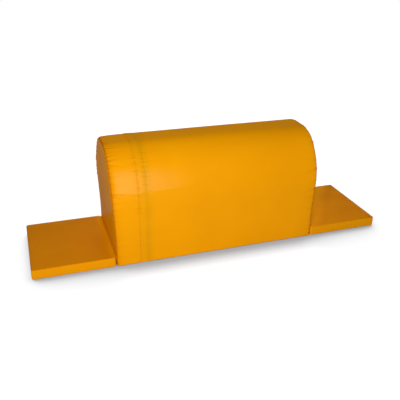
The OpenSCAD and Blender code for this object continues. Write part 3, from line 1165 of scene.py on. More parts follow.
def crown_at(place):
    """The most that the crown may rise at a place: less near the hinge strip, which holds that edge flat."""
    return CROWN * (HELD_SHARE + (1 - HELD_SHARE) * eased((abs(place.x) - MAT_NEAR) / HINGE_HOLD))


def blow_up(panel, held):
    """Swells a sheet with cloth pressure and caps each move. held are the numbers of points that stay."""
    before = [point.co.copy() for point in panel.data.vertices]
    pins = panel.vertex_groups.new(name="held")
    pins.add(held, 1.0, "REPLACE")
    take(panel)
    cloth = panel.modifiers.new("Cloth", "CLOTH")
    cloth.settings.use_pressure = True
    cloth.settings.uniform_pressure_force = PRESSURE
    cloth.settings.vertex_group_mass = "held"
    cloth.settings.effector_weights.gravity = 0
    cloth.collision_settings.use_collision = False
    cloth.point_cache.frame_end = CLOTH_FRAMES
    for step in range(1, CLOTH_FRAMES + 1):
        bpy.context.scene.frame_set(step)
    bpy.ops.object.modifier_apply(modifier="Cloth")
    bpy.context.scene.frame_set(1)
    panel.vertex_groups.clear()
    furthest = 0
    for point, start in zip(panel.data.vertices, before):
        move = point.co - start
        furthest = max(furthest, move.length)
        if move.length > 1e-7:
            cap = crown_at(start)
            point.co = start + move.normalized() * cap * math.tanh(move.length / cap)
    print(f"cloth moved {furthest * 1000:.1f} mm before its cap of {CROWN * 1000:.1f} mm")


def mat_gathered(place, middle):
    """How far the gathers along a mat's nearest edge draw its top in. They fade out towards the corners."""
    gap_x = MAT_L / 2 - abs(place.x - middle)
    gap_y = HALF_W - abs(place.y)
    if gap_x < gap_y:
        along, stretch = place.y, 0.3 * (1 + (place.x > middle) + 2 * (place.y > 0))
    else:
        along, stretch = place.x - middle, 0.1 + 0.5 * (place.y > 0)
    clear = eased(abs(gap_x - gap_y) / CORNER_CLEAR)
    return clear * gathered(MAT_GATHERS, stretch + along + 0.25, min(gap_x, gap_y))


# %% [markdown]
# ## Tread dirt and painted shade on the mats
# The mats' tops are painted darker and redder: partly tread dirt, partly painted shade on their up-facing
# tops. The left mat is darkened nearly all over, and the right one more towards its outer end. The rim
# along the hinge is kept light on both, and so is the right mat's corner between the horse and the back
# edge: painted light where the horse's shadow falls.

# %% Tread dirt and painted shade on the mats
# Tread dirt and painted shade on the mats' tops: the least share and the share added towards the outer end.
TREAD_AND_SHADE = {-1: (1.06, 0), 1: (0.6, 0.4)}
TREAD_PATCH, PATCH_SIZE = 0.25, 0.12
LIT_CORNER_SLANT, LIT_CORNER_RUN = 0.66, 0.08
LIT_RIM_WIDE = 0.018


def tread_and_shade(place, side):
    """How dark the top of the mat at side -1 or 1 is painted: tread dirt and painted shade, lighter where
    the horse's shadow falls.
    """
    least, outer = TREAD_AND_SHADE[side]
    share = least + outer * eased((side * place.x - MAT_MID) / MAT_L + 0.5)
    # The right mat's corner between the horse and the back edge is kept light: painted light where the
    # horse's shadow falls.
    if side > 0:
        share *= eased((place.x - MAT_NEAR - LIT_CORNER_SLANT * (place.y + HALF_W)) / LIT_CORNER_RUN)
    # The rim along the hinge is kept light on both mats: painted light in the horse's shade.
    share *= 1 - fading(abs(place.x), MAT_NEAR, LIT_RIM_WIDE)
    return share + TREAD_PATCH * noise.noise(place / PATCH_SIZE)


# %% The crowned top
MAT_ROLL = 0.005
MAT_TURN = math.radians(48)
MAT_SEAM = 0.0025
MAT_RINGS = (0.0080, 0.012, 0.018, 0.025)
MAT_SLACK, SLACK_RUN = 0.8, 0.06
GATHER_FROM, GATHER_RUN = 0.002, 0.004
# A dark seam line round the mat's top, with painted shade in the crease where it turns into the band.
MAT_SEAM_SHADE, MAT_LINE = 0.25, (0.0022, 0.0012)


def make_mat_top(side, seed):
    """The top panel of the mat at side -1 or 1."""
    middle = side * MAT_MID
    panel = mat_wire(middle)
    rolls = [rolled(MAT_ROLL, *step) for step in rim_turns(MAT_TURN, MAT_SEAM)]
    rings = [(MAT_TOP - back, inset) for back, inset in rolls] + [(MAT_TOP, inset) for inset in MAT_RINGS]
    last_ring = sweep_rings(panel, rings, middle)
    edit(panel)
    pick_more(panel, last_ring)
    bpy.ops.mesh.fill_grid()
    face_to(panel, lambda p: Vector((0, 0, 1)))
    rim = [p.index for p in panel.data.vertices if mat_gap(p.co, middle) < MAT_ROLL]
    blow_up(panel, rim)
    for point in panel.data.vertices:
        gap = mat_gap(point.co, middle)
        loose = MAT_SLACK * slack(point.co.x, point.co.y, seed) * eased(gap / SLACK_RUN)
        point.co.z += loose - mat_gathered(point.co, middle) * eased((gap - GATHER_FROM) / GATHER_RUN)
    thicken(panel, VINYL)
    # The top's seam line with painted crease shade, and its tread dirt and painted shade.
    mark(panel, "seam", lambda p: MAT_SEAM_SHADE * fading(mat_gap(p, middle), *MAT_LINE))
    mark(panel, "tread_and_shade", lambda p: tread_and_shade(p, side))
    return panel


# %% [markdown]
# ## A mat's edge band, base and foam
# The band rolls under at the floor, stands up, and rolls over to the seam with the top. At the back it
# has a slot for the zip: the faces of that stretch are deleted, which the rows and columns of the sweep
# make easy. The base is a dark grip cloth that lies on the floor inside the rolled foot, and the foam
# is a cut block.

# %% The edge band
BAND_FOOT = 0.003
SLOT_LOW, SLOT_HIGH, SLOT_HALF = 0.0185, 0.0315, 0.1485
BAND_ROWS = (0.0095, 0.014, SLOT_LOW, 0.025, SLOT_HIGH, 0.036, 0.0405)
BAND_SWELL = 0.0008
# How much tread dirt and painted shade darken each mat's edge band.
BAND_TREAD_AND_SHADE = {-1: 0.3, 1: 0.1}
# The band darkens towards its top, where it turns into the seam: dark seam line and painted crease shade.
BAND_LINE = (0.003, 0.0012)


def band_rings():
    """Rings (height, inset) from the floor up to the seam with the top."""
    rings = []
    for step in range(ROLL_STEPS):
        angle = math.pi / 2 * (1 - step / ROLL_STEPS)
        rings.append((FOOT + BAND_FOOT * (1 - math.sin(angle)), BAND_FOOT * (1 - math.cos(angle))))
    for height in BAND_ROWS:
        rings.append((height, -BAND_SWELL * math.sin(math.pi * height / MAT_TOP)))
    turns = [(MAT_TURN * step / ROLL_STEPS, 0) for step in range(ROLL_STEPS + 1)]
    for turn in turns + [(MAT_TURN, MAT_SEAM)]:
        back, inset = rolled(MAT_ROLL, *turn)
        rings.append((MAT_TOP - back, inset))
    return rings


def make_mat_band(side):
    """The edge band of the mat at side -1 or 1, with its zip slot at the back."""
    middle = side * MAT_MID
    band = mat_wire(middle)
    sweep_rings(band, band_rings(), middle)
    face_to(band, lambda p: mat_outward(p, middle))
    edit(band, "FACE")
    pick_faces(band, lambda p: SLOT_LOW < p.z < SLOT_HIGH and abs(p.x - middle) < SLOT_HALF
               and p.y > HALF_W / 2)
    bpy.ops.mesh.delete(type="FACE")
    thicken(band, VINYL)
    # The band's seam line with painted crease shade, and its tread dirt and painted shade.
    mark(band, "seam", lambda p: MAT_SEAM_SHADE * fading(MAT_TOP - p.z, *BAND_LINE))
    mark(band, "tread_and_shade", lambda p: BAND_TREAD_AND_SHADE[side])
    return band


# %% The bases and foam blocks
BASE_INSET, BASE_EDGE = 0.003, 0.0003
FOAM_GAP, FOAM_FOOT = 0.004, 0.001
FOAM_ROUND, FOAM_STEPS = 0.010, 4


def make_base(middle, half_x, half_y, inset):
    """A flat sheet of grip cloth on the floor."""
    size = (2 * (half_x - inset), 2 * (half_y - inset))
    sheet = rounded_plane(size, (middle, 0, FOOT), MAT_CORNER, CORNER_STEPS)
    thicken(sheet, FOOT)
    use_modifier(sheet, "BEVEL", width=BASE_EDGE, segments=2, limit_method="ANGLE")
    return sheet


def foam_block(node, top_gap):
    """A block of cut foam with its corners eased, a little smaller than its CAD solid."""
    low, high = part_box(node)
    low = low + Vector((FOAM_GAP, FOAM_GAP, FOAM_FOOT))
    high = high - Vector((FOAM_GAP, FOAM_GAP, top_gap))
    return new_block(high - low, (low + high) / 2, FOAM_ROUND, FOAM_STEPS)


# %% The mats
TOP_SEED = 12
for side, name in SIDES.items():
    body = name + "_mat"
    top = make_mat_top(side, TOP_SEED + side)
    hand_in(top, body + "_top_vinyl", body, vinyl, [body + "_top_panel"])
    band = make_mat_band(side)
    hand_in(band, body + "_band_vinyl", body, vinyl, [body + "_edge_band"])
    base = make_base(side * MAT_MID, MAT_L / 2, HALF_W, BASE_INSET)
    hand_in(base, body + "_base_cloth", body, base_cloth, [body + "_base_panel"])
    foam = foam_block(body + "_foam", FOAM_GAP)
    hand_in(foam, body + "_foam_block", body, soft_foam, [body + "_foam"])

# %% [markdown]
# ## The horse's base and foam
# The horse stands on the same grip cloth. Inside are two blocks of foam, a firm one below and a softer
# one above with the rounded top. The upper one is the section filled with one face, extruded along the
# horse and cut off level.

# %% The horse's base and foam
CLOTH_INSET = 0.002
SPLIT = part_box("horse_base_foam")[1].z
UPPER_ROUND, UPPER_STEPS = 0.006, 3
MERGE = 0.0001


def make_upper_foam():
    """The soft block with the rounded top."""
    block = arch_wire(-HALF_L + 2 * FOAM_GAP)
    pick_all()
    bpy.ops.mesh.edge_face_add()
    extrude((2 * HALF_L - 4 * FOAM_GAP, 0, 0))
    pick_all()
    shrink = 1 - FOAM_GAP / HALF_W
    bpy.ops.transform.resize(value=(1, shrink, shrink), center_override=(0, 0, SPLIT))
    bpy.ops.mesh.bisect(plane_co=(0, 0, SPLIT), plane_no=(0, 0, 1), clear_inner=True, use_fill=True)
    turn_out()
    leave_edit()
    use_modifier(block, "BEVEL", width=UPPER_ROUND, segments=UPPER_STEPS, limit_method="ANGLE",
                 angle_limit=math.radians(60))
    edit(block)
    pick_all()
    bpy.ops.mesh.remove_doubles(threshold=MERGE)
    turn_out()
    leave_edit()
    return block


base = make_base(0, HALF_L, HALF_W, CLOTH_INSET)
hand_in(base, "horse_base_cloth", "horse", base_cloth, ["horse_base_panel"])
lower_foam = foam_block("horse_base_foam", 0)
hand_in(lower_foam, "lower_foam_block", "horse", firm_foam, ["horse_base_foam"])
upper_foam = make_upper_foam()
hand_in(upper_foam, "upper_foam_block", "horse", soft_foam, ["horse_top_foam"])

# %% [markdown]
# ## The hinge strips
# A strip of vinyl folded over joins each mat to the horse at the mat's top edge, so that the mat can
# swing up. Its section is half a small circle with two legs, swept across the horse. One leg follows
# the horse and the other the mat, and the fold between them turns smoothly.

# %% The hinge strips
HINGE_HALF_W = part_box("right_hinge_mat_leaf")[1].y
LEAF_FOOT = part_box("right_hinge_mat_leaf")[0].z
FOLD_STEPS, LEAF_ROWS, STRIP_COLUMNS = 6, 4, 24
FOLD_TOP = MAT_TOP - 0.001
STRIP_SHARE = 0.9


def make_hinge_strip(near, far):
    """The folded strip between the horse's end at x near and the mat's edge at x far."""
    radius = abs(far - near) / 2 - VINYL / 2
    middle = ((near + far) / 2, -HINGE_HALF_W, FOLD_TOP)
    start_clean()
    count = 4 * FOLD_STEPS
    bpy.ops.mesh.primitive_circle_add(vertices=count, radius=radius, location=middle, rotation=LYING_Y)
    strip = settle()
    edit(strip)
    cut_away(strip, lambda p: p.z < FOLD_TOP - HAIR)
    pick(strip, lambda p: p.z < FOLD_TOP + HAIR)
    extrude((0, 0, -(FOLD_TOP - LEAF_FOOT) / LEAF_ROWS), LEAF_ROWS)
    pick_all()
    extrude((0, 2 * HINGE_HALF_W / STRIP_COLUMNS, 0), STRIP_COLUMNS)
    turn_out()
    leave_edit()
    thicken(strip, VINYL * STRIP_SHARE, 0)
    return strip


for side, name in SIDES.items():
    near, far = side * HALF_L, side * MAT_NEAR
    strip = make_hinge_strip(near, far)
    hand_in(strip, name + "_hinge_strip", None, vinyl,
            [name + "_hinge_fixed_leaf", name + "_hinge_mat_leaf"])
    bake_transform(strip)

# %% [markdown]
# ## Zips
# The horse's zip starts at the front foot, runs over the top under the flap and ends low on the back,
# where its slider is parked. Each mat has a short one in its back edge. All three share one set of
# shapes, made at the origin with x along the way that the slider opens and z facing out, and a matrix
# then sets them in place.

# %% Where the zips are
ZIP_DEPTH = 0.0014
PARK = middle_of("horse_zip_slider", 2)
CHAIN_START = -0.0027
ZIP_FOOT, STOP_ROOM = 0.0103, 0.0033


def zip_matrix(origin, along):
    """A placing matrix for a zip: x runs along it, z faces the back."""
    out = Vector((0, 1, 0))
    turn = Matrix((along, out.cross(along), out)).transposed().to_4x4()
    return Matrix.Translation(origin) @ turn


def zip_body(name):
    """The body that a zip is sewn to. Its CAD nodes start with the body's name and _zip."""
    return "horse" if name == "horse" else name + "_mat"


def along_zip(name, x):
    """A placing matrix at a distance x along a straight zip."""
    return ZIPS[name] @ Matrix.Translation((x, 0, 0))


ZIPS = {"horse": zip_matrix(Vector((ZIP_X, HALF_W - ZIP_DEPTH, PARK)), Vector((0, 0, 1)))}
for side, name in SIDES.items():
    parked = Vector((middle_of(name + "_mat_zip_slider", 0), HALF_W - ZIP_DEPTH, MAT_TOP / 2))
    ZIPS[name] = zip_matrix(parked, Vector((-side, 0, 0)))
MAT_ZIP_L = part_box("right_mat_zip_stops")[1].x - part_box("right_mat_zip_stops")[0].x
MAT_CHAIN_END = MAT_ZIP_L - ZIP_FOOT - STOP_ROOM
print("zips:", ", ".join(ZIPS))

# %% [markdown]
# ## Zip tapes
# A tape is woven ribbon with a cord along the edge that carries the teeth. It lies level beside the
# teeth, where the slider runs, and dips under the cover's edge. On the horse it is one more sheet on
# the wire, with a patch that closes the gap below the stop, and on a mat it is a strip.

# %% The tapes
TAPE = 0.0006
TAPE_SECTION = (
    (0.0024, 0.0012), (0.0026, 0.0009), (0.0031, 0.0008), (0.0035, 0.0011), (0.0054, 0.0011),
    (0.0064, 0.0017), (0.0072, 0.0021), (0.0110, 0.0022), (0.0155, 0.0022),
)
TAPE_STEPS = 30
TAPE_START, TAPE_PAST = -0.021, 0.014
COVER_FROM, COVER_RUN = 0.0054, 0.002
PATCH_TOP, PATCH_HALF = PARK - 0.0105, 0.0028


def horse_tape(side):
    """The horse's tape on one side of the teeth. Under the cover it moves with the cover's gathers."""
    def relief(x, way):
        off = abs(x - ZIP_X)
        drawn = gathered(ROW_GATHERS[side], way, abs(off - STITCH_ROW))
        covered = eased((off - COVER_FROM) / COVER_RUN)
        return crown(x, way) + covered * (slack(x, way, WRAP_SEED[side]) - drawn)

    return wrap_sheet([level_column(ZIP_X + side * x, inset) for x, inset in TAPE_SECTION], relief, TAPE)


def foot_patch():
    """A patch across the gap between the horse's tapes, below the stop on the back."""
    columns = [level_column(ZIP_X + x, ZIP_DEPTH) for x in (-PATCH_HALF, 0, PATCH_HALF)]
    patch = wrap_sheet(columns, lambda x, way: 0, 0)
    edit(patch)
    cut_away(patch, lambda p: p.y < 0 or p.z > PATCH_TOP)
    thicken(patch, TAPE)
    return patch


def strip_tape(side, start, stop, place):
    """A straight tape on one side of the teeth, from start to stop along the zip."""
    points = [(start, side * y, ZIP_DEPTH - inset) for y, inset in TAPE_SECTION]
    mesh = bpy.data.meshes.new("tape")
    mesh.from_pydata(points, [(n, n + 1) for n in range(len(points) - 1)], [])
    tape = bpy.data.objects.new("tape", mesh)
    bpy.context.collection.objects.link(tape)
    edit(tape)
    pick_all()
    extrude(((stop - start) / TAPE_STEPS, 0, 0), TAPE_STEPS)
    face_to(tape, lambda p: Vector((0, 0, 1)))
    thicken(tape, TAPE)
    tape.data.transform(place)
    return tape


for name, place in ZIPS.items():
    if name == "horse":
        tapes = [horse_tape(side) for side in SIDES] + [foot_patch()]
    else:
        ends = (TAPE_START, MAT_CHAIN_END + TAPE_PAST)
        tapes = [strip_tape(side, *ends, place) for side in SIDES]
    body = zip_body(name)
    tape = join_pieces(tapes)
    hand_in(tape, name + "_zip_tape_cloth", body, zip_tape, [body + "_zip_tapes"])

# %% [markdown]
# ## Zip teeth
# A moulded tooth is a small block with a narrower head that reaches past the middle, and the teeth of
# the two sides take turns. One tooth is shaped, and two rows of copies are set along each zip, half a
# step apart.

# %% The teeth and stops
TOOTH_STEP = 0.0026
TOOTH_SIZE, TOOTH_ROOT, TOOTH_BEVEL = (0.00115, 0.0037, 0.0022), -0.00115, 0.0002
TOOTH_HEAD = (0.75, 1, 0.8)
FRONT_STOP, FIRST_TOOTH = 0.0055, 0.0075
STOP_SIZE, STOP_BEVEL = (0.003, 0.006, 0.003), 0.0005
LOWER_STOP, UPPER_STOP = -0.0088, MAT_ZIP_L - 0.0118
SMALL_SMOOTH = 30


def make_tooth():
    """One tooth across the zip, rooted on the side of -y."""
    tooth = new_block(TOOTH_SIZE, (0, TOOTH_ROOT, 0))
    edit(tooth)
    pick(tooth, lambda p: p.y > 0)
    bpy.ops.transform.resize(value=TOOTH_HEAD)
    leave_edit()
    use_modifier(tooth, "BEVEL", width=TOOTH_BEVEL, segments=1)
    return tooth


def tooth_rows(place_at, start, stop):
    """Placing matrices of both rows of teeth. place_at gives a matrix for a distance along the zip."""
    half_turn = Matrix.Rotation(math.pi, 4, "Z")
    places = []
    for number in range(int((stop - start) / TOOTH_STEP * 2)):
        place = place_at(start + (number + 0.5) * TOOTH_STEP / 2)
        places.append(place @ half_turn if number % 2 else place)
    return places


def on_arch(way):
    """A placing matrix in the middle of the horse's zip."""
    return place_round(ZIP_X, way, crown(ZIP_X, way) - ZIP_DEPTH)


for name in ZIPS:
    if name == "horse":
        rows = tooth_rows(on_arch, FIRST_TOOTH, ROUND - PARK - CHAIN_START)
        stops = [on_arch(FRONT_STOP), along_zip(name, LOWER_STOP)]
    else:
        rows = tooth_rows(lambda x: along_zip(name, x), CHAIN_START, MAT_CHAIN_END)
        stops = [along_zip(name, x) for x in (LOWER_STOP, UPPER_STOP)]
    body = zip_body(name)
    teeth = repeat(make_tooth(), rows)
    hand_in(teeth, name + "_zip_teeth", body, nylon, [body + "_zip_chain"], SMALL_SMOOTH)
    pair = repeat(new_block(STOP_SIZE, (0, 0, 0), STOP_BEVEL), stops)
    hand_in(pair, name + "_zip_stop_pair", body, metal, [body + "_zip_stops"], SMALL_SMOOTH)

# %% [markdown]
# ## Sliders and pull tabs
# A slider is two plates with a flange along each side, held apart by the post that parts the teeth. A
# plate is a thin block cut into three strips and tapered at one end, with its outer strips drawn down
# as flanges, and the other plate is its mirror image. A loop on top carries the pull tab by a pin.

# %% The slider
PLATE_L, PLATE_W, LANE_HALF = 0.014, 0.011, 0.0033
PLATE_TOP, PLATE_LOW, FLANGE_LOW = 0.0025, 0.0015, 0.0007
PLATE_TAPER, PLATE_BEVEL = 0.84, 0.0003
POST_SIZE, POST_X = (0.003, 0.002, 2 * PLATE_LOW + 0.0002), -0.0045
LOOP_RADIUS, LOOP_WIRE, LOOP_SHAPE = 0.0025, 0.0005, (1, 1.5, 0.88)
MIDDLE = (0, 0, 0)


def make_plates():
    """The two plates of a slider, with their wide end at -x."""
    thick = PLATE_TOP - PLATE_LOW
    plates = new_block((PLATE_L, PLATE_W, thick), (0, 0, PLATE_LOW + thick / 2))
    edit(plates, "FACE")
    for y in (-LANE_HALF, LANE_HALF):
        pick_all()
        bpy.ops.mesh.bisect(plane_co=(0, y, 0), plane_no=(0, 1, 0))
    pick_faces(plates, lambda p: abs(p.y) > LANE_HALF and abs(p.z - PLATE_LOW) < TINY)
    extrude((0, 0, FLANGE_LOW - PLATE_LOW))
    bpy.ops.mesh.select_mode(type="VERT")
    pick(plates, lambda p: p.x > 0 and abs(p.y) > LANE_HALF + 0.001)
    bpy.ops.transform.resize(value=(1, PLATE_TAPER, 1), center_override=MIDDLE)
    use_modifier(plates, "BEVEL", width=PLATE_BEVEL, segments=2, limit_method="ANGLE")
    edit(plates)
    pick_all()
    bpy.ops.mesh.duplicate()
    bpy.ops.transform.resize(value=(1, 1, -1), center_override=MIDDLE)
    turn_out()
    return plates


def make_loop():
    """The loop on top of a slider, cut off and closed just inside the plate."""
    start_clean()
    bpy.ops.mesh.primitive_torus_add(major_segments=24, minor_segments=8, major_radius=LOOP_RADIUS,
                                     minor_radius=LOOP_WIRE, location=(0, 0, PLATE_TOP), rotation=LYING_Y)
    loop = settle()
    edit(loop)
    cut_away(loop, lambda p: p.z < PLATE_TOP - LOOP_WIRE)
    pick_all()
    bpy.ops.mesh.fill_holes(sides=0)
    pick_all()
    bpy.ops.transform.resize(value=LOOP_SHAPE, center_override=(0, 0, PLATE_TOP))
    leave_edit()
    return loop


def make_slider():
    """A zip slider at the origin."""
    plates = make_plates()
    post = new_block(POST_SIZE, (POST_X, 0, 0), PLATE_BEVEL)
    return join_pieces([plates, post, make_loop()])


# %% The pull tab
PIN_Z, PIN_RADIUS, PIN_L = 0.0034, 0.0006, 0.005
TAB_L, TAB_W, TAB_T, TAB_X = 0.0221, 0.007, 0.001, -0.0059
TAB_CORNER, TAB_STEPS, TAB_BEVEL = 0.0023, 5, 0.00007
TAB_RIM, TAB_SUNK = 0.0012, 0.0002
RAIL_SIZE, RAIL_X, RAIL_Y, RAIL_BEVEL = (0.0064, 0.0012, TAB_T), -0.0032, 0.0019, 0.0002


def make_pull():
    """A pull tab that lies along -x from its pin, with a sunk field on both faces."""
    low, high = PIN_Z - TAB_T / 2, PIN_Z + TAB_T / 2
    tab = rounded_plane((TAB_L, TAB_W), (TAB_X - TAB_L / 2, 0, low), TAB_CORNER, TAB_STEPS)
    extrude((0, 0, TAB_T))
    turn_out()
    bpy.ops.mesh.select_mode(type="FACE")
    for z in (low, high):
        pick_faces(tab, lambda p: abs(p.z - z) < HAIR)
        bpy.ops.mesh.inset(thickness=TAB_RIM, depth=0)
        bpy.ops.mesh.inset(thickness=TAB_SUNK, depth=-TAB_SUNK)
    use_modifier(tab, "BEVEL", width=TAB_BEVEL, segments=2, limit_method="ANGLE")
    rails = [new_block(RAIL_SIZE, (RAIL_X, side * RAIL_Y, PIN_Z), RAIL_BEVEL) for side in SIDES]
    start_clean()
    bpy.ops.mesh.primitive_cylinder_add(vertices=16, radius=PIN_RADIUS, depth=PIN_L, location=(0, 0, PIN_Z),
                                        rotation=LYING_Y)
    return join_pieces([tab, *rails, settle()])


for name, place in ZIPS.items():
    for kind, label, made in (("slider", "slider_metal", make_slider()), ("pull", "pull_tab", make_pull())):
        made.data.transform(place)
        hand_in(made, name + "_zip_" + label, name + "_" + kind, metal,
                [zip_body(name) + "_zip_" + kind], SMALL_SMOOTH)

# %% [markdown]
# ## Stitches round the mats' zips
# The edge band is sewn to the tapes all round the slot, in a plain row a few millimetres from its edge.

# %% The mats' slot stitches
ROW_OFF = 0.0025
ROW_LIFT = 0.0001


def slot_row(middle):
    """Placing matrices of the stitches round a mat's zip slot."""
    half_x, half_z = SLOT_HALF + ROW_OFF, (SLOT_HIGH - SLOT_LOW) / 2 + ROW_OFF
    face = HALF_W + BAND_SWELL * math.sin(math.pi * SLOT_LOW / MAT_TOP) + ROW_LIFT
    centre = Vector((middle, face, MAT_TOP / 2))
    places = []
    for along, across, run in ((Vector((1, 0, 0)), Vector((0, 0, half_z)), half_x),
                               (Vector((0, 0, 1)), Vector((half_x, 0, 0)), half_z)):
        count = int(2 * run / STITCH)
        for edge in SIDES:
            for number in range(count):
                spot = centre + along * (number + 0.5 - count / 2) * STITCH + across * edge
                places.append(zip_matrix(spot, along))
    return places


for side, name in SIDES.items():
    row = repeat(small_stitch(), slot_row(side * MAT_MID))
    hand_in(row, name + "_slot_stitches", name + "_mat", thread)

# %% [markdown]
# ## The stage
# A pale floor, a soft key light close to the camera, and weaker lamps behind and on the right. A bright
# card in front shows only in reflections: it gives the satin highlight on the shoulder, which fades to
# the right. The floor and the room are white to the camera. The floor shades near the object, more so
# in front of it than beside it, and the shade is softer and wider towards the outer ends of the low
# mats.

# %% The room
ROOM_LIGHT = 0.15
ROOM_MIRRORED = 0.1


def seen_share(tree):
    """1 for what the camera sees, by itself or through glass, and 0 for the light that falls on things."""
    ray = add_node(tree, "LightPath").outputs
    return maths(tree, "MAXIMUM", ray["Is Camera Ray"], ray["Is Transmission Ray"])


def white_room():
    """White to the camera, pale in reflections, and a weak even light on the object."""
    world = bpy.data.worlds.new("room")
    bpy.context.scene.world = world
    world.use_nodes = True
    tree = world.node_tree
    glossy = add_node(tree, "LightPath").outputs["Is Glossy Ray"]
    white = maths(tree, "MULTIPLY_ADD", glossy, ROOM_MIRRORED, seen_share(tree))
    level = spread_value(tree, white, ROOM_LIGHT, 1.0)
    set_inputs(tree, tree.nodes["Background"], Color=(1, 1, 1, 1), Strength=level)


def empty_material(name):
    """A material with no nodes in it, and its node tree."""
    material = bpy.data.materials.new(name)
    material.use_nodes = True
    material.node_tree.nodes.clear()
    return material, material.node_tree


white_room()

# %% The floor
FLOOR_SIZE, FLOOR_Z = 14, -0.0005
SHADE_REACH = (0.15, 0.42)
SHADE_WIDENS = (0.48, 0.80)
SHADE_LOOK = (0, 0.707, 0.707)
SHADE_STEPS = ((0.36, 0.29), (0.45, 0.445), (0.60, 0.675), (0.78, 0.87), (0.90, 0.935), (0.96, 1.0))
SHADE_POWERS = (1.05, 1.0, 0.94)
FLOOR_GLOW = 0.98
FLOOR_PAINT, FLOOR_SEEN = (0.5, 0.5, 0.5, 1), (0.16, 0.16, 0.16, 1)


def floor_shade(tree):
    """The colour of the floor to the camera: a soft shade where something stands close by."""
    look = add_node(tree, "CombineXYZ", X=SHADE_LOOK[0], Y=SHADE_LOOK[1], Z=SHADE_LOOK[2]).outputs["Vector"]
    spot = add_node(tree, "SeparateXYZ", Vector=add_node(tree, "TexCoord").outputs["Object"]).outputs["X"]
    reach = add_node(tree, "MapRange", Value=maths(tree, "ABSOLUTE", spot), From_Min=SHADE_WIDENS[0],
                     From_Max=SHADE_WIDENS[1], To_Min=SHADE_REACH[0], To_Max=SHADE_REACH[1])
    shade = add_node(tree, "AmbientOcclusion", {"samples": 16}, Distance=reach.outputs["Result"],
                     Normal=look)
    tint = add_node(tree, "ValToRGB", Fac=shade.outputs["AO"])
    steps = tint.color_ramp.elements
    for place, _ in SHADE_STEPS[2:]:
        steps.new(place)
    for step, (place, tone) in zip(steps, SHADE_STEPS):
        step.position = place
        step.color = (*(tone ** power for power in SHADE_POWERS), 1)
    return tint.outputs["Color"]


def make_floor_finish():
    """Pale floor that is white to the camera, with a soft shade where something stands on it."""
    material, tree = empty_material("pale_floor")
    glow = add_node(tree, "Emission", Color=floor_shade(tree), Strength=FLOOR_GLOW)
    thin = add_node(tree, "BsdfDiffuse", Color=FLOOR_SEEN)
    paint = add_node(tree, "BsdfDiffuse", Color=FLOOR_PAINT)
    both = add_node(tree, "AddShader")
    plug(tree, both.inputs[0], glow.outputs["Emission"])
    plug(tree, both.inputs[1], thin.outputs["BSDF"])
    choice = add_node(tree, "MixShader", Fac=seen_share(tree))
    plug(tree, choice.inputs[1], paint.outputs["BSDF"])
    plug(tree, choice.inputs[2], both.outputs["Shader"])
    add_node(tree, "OutputMaterial", Surface=choice.outputs["Shader"])
    return material


start_clean()
bpy.ops.mesh.primitive_plane_add(size=FLOOR_SIZE, location=(0, 0, FLOOR_Z))
floor = bpy.context.object
floor.name = "floor"
floor.data.materials.append(make_floor_finish())

# %% The lamps
LAMPS = {"key": (-23, 25, 0.82), "back": (180, 14, 0.60), "right": (95, 14, 0.20)}
LAMP_DISTANCE, LAMP_SIZE = 3.2, 1.4
LAMP_TARGET = Vector((0, 0, 0.25))


def soft_lamp(name, azimuth, elevation, level):
    """An area lamp that faces the horse. level is the brightness of a white surface square to it."""
    lamp = bpy.data.lights.new(name, "AREA")
    lamp.shape = "RECTANGLE"
    lamp.size = lamp.size_y = LAMP_SIZE
    lamp.energy = level * math.pi ** 2 * LAMP_DISTANCE ** 2
    turn = math.radians(azimuth)
    climb = math.radians(elevation)
    away = Vector((math.sin(turn) * math.cos(climb), -math.cos(turn) * math.cos(climb), math.sin(climb)))
    holder = bpy.data.objects.new(name, lamp)
    holder.location = LAMP_TARGET + away * LAMP_DISTANCE
    holder.rotation_euler = away.to_track_quat("Z", "Y").to_euler()
    holder.visible_glossy = False
    bpy.context.collection.objects.link(holder)


for name, settings in LAMPS.items():
    soft_lamp(name + "_lamp", *settings)

# %% The bright card
CARD_LEFT, CARD_FOOT, CARD_Y, CARD_SIZE = -0.38, 0.335, -1.22, (0.62, 1.35)
CARD_FULL = (0.1, 0.35)
CARD_LEVEL = 12.5


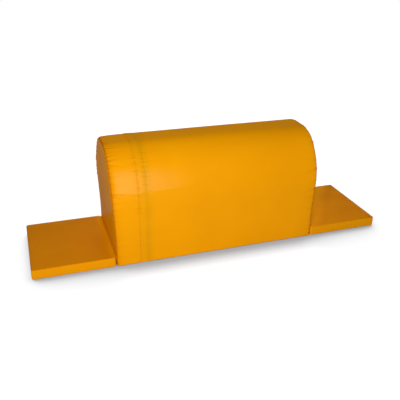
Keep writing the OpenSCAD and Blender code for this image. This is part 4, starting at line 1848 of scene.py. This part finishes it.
def make_card_finish():
    """A glow that is strongest at the card's lower left and fades to the right and upwards."""
    material, tree = empty_material("card_glow")
    place = add_node(tree, "SeparateXYZ", Vector=add_node(tree, "TexCoord").outputs["Object"])
    level = CARD_LEVEL
    for axis, start, size, full in zip("XZ", (CARD_LEFT, CARD_FOOT), CARD_SIZE, CARD_FULL):
        fade = add_node(tree, "MapRange", {"interpolation_type": "SMOOTHSTEP"}, Value=place.outputs[axis],
                        From_Min=start + full * size, From_Max=start + size, To_Min=1.0, To_Max=0.0)
        level = maths(tree, "MULTIPLY", fade.outputs["Result"], level)
    glow = add_node(tree, "Emission", Strength=level)
    add_node(tree, "OutputMaterial", Surface=glow.outputs["Emission"])
    return material


start_clean()
card_middle = (CARD_LEFT + CARD_SIZE[0] / 2, CARD_Y, CARD_FOOT + CARD_SIZE[1] / 2)
bpy.ops.mesh.primitive_plane_add(size=1, location=card_middle, rotation=LYING_Y)
card = settle((*CARD_SIZE, 1))
card.name = "bright_card"
card.data.materials.append(make_card_finish())
card.visible_camera = card.visible_diffuse = card.visible_shadow = False

# %% [markdown]
# ## The camera
# The camera was solved from the straight edges of the mats and the horse in the photograph. It is
# turned about z to look along the horse's front, tipped down, and rolled by about a degree.

# %% The camera
CAMERA_PLACE = (-0.85356, -2.40709, 1.41787)
CAMERA_YAW, CAMERA_TIP, CAMERA_ROLL = (math.radians(angle) for angle in (18.974, 25.986, 1.026))
CAMERA_LENS, CAMERA_SENSOR = 49.093, 36
camera = bpy.data.objects.new("camera", bpy.data.cameras.new("camera"))
camera.data.lens = CAMERA_LENS
camera.data.sensor_width = CAMERA_SENSOR
turn = Matrix.Rotation(-CAMERA_YAW, 4, "Z") @ Matrix.Rotation(math.pi / 2 - CAMERA_TIP, 4, "X")
camera.matrix_world = Matrix.Translation(CAMERA_PLACE) @ turn @ Matrix.Rotation(CAMERA_ROLL, 4, "Z")
bpy.context.collection.objects.link(camera)
bpy.context.scene.camera = camera
bpy.context.scene.view_settings.view_transform = "Standard"
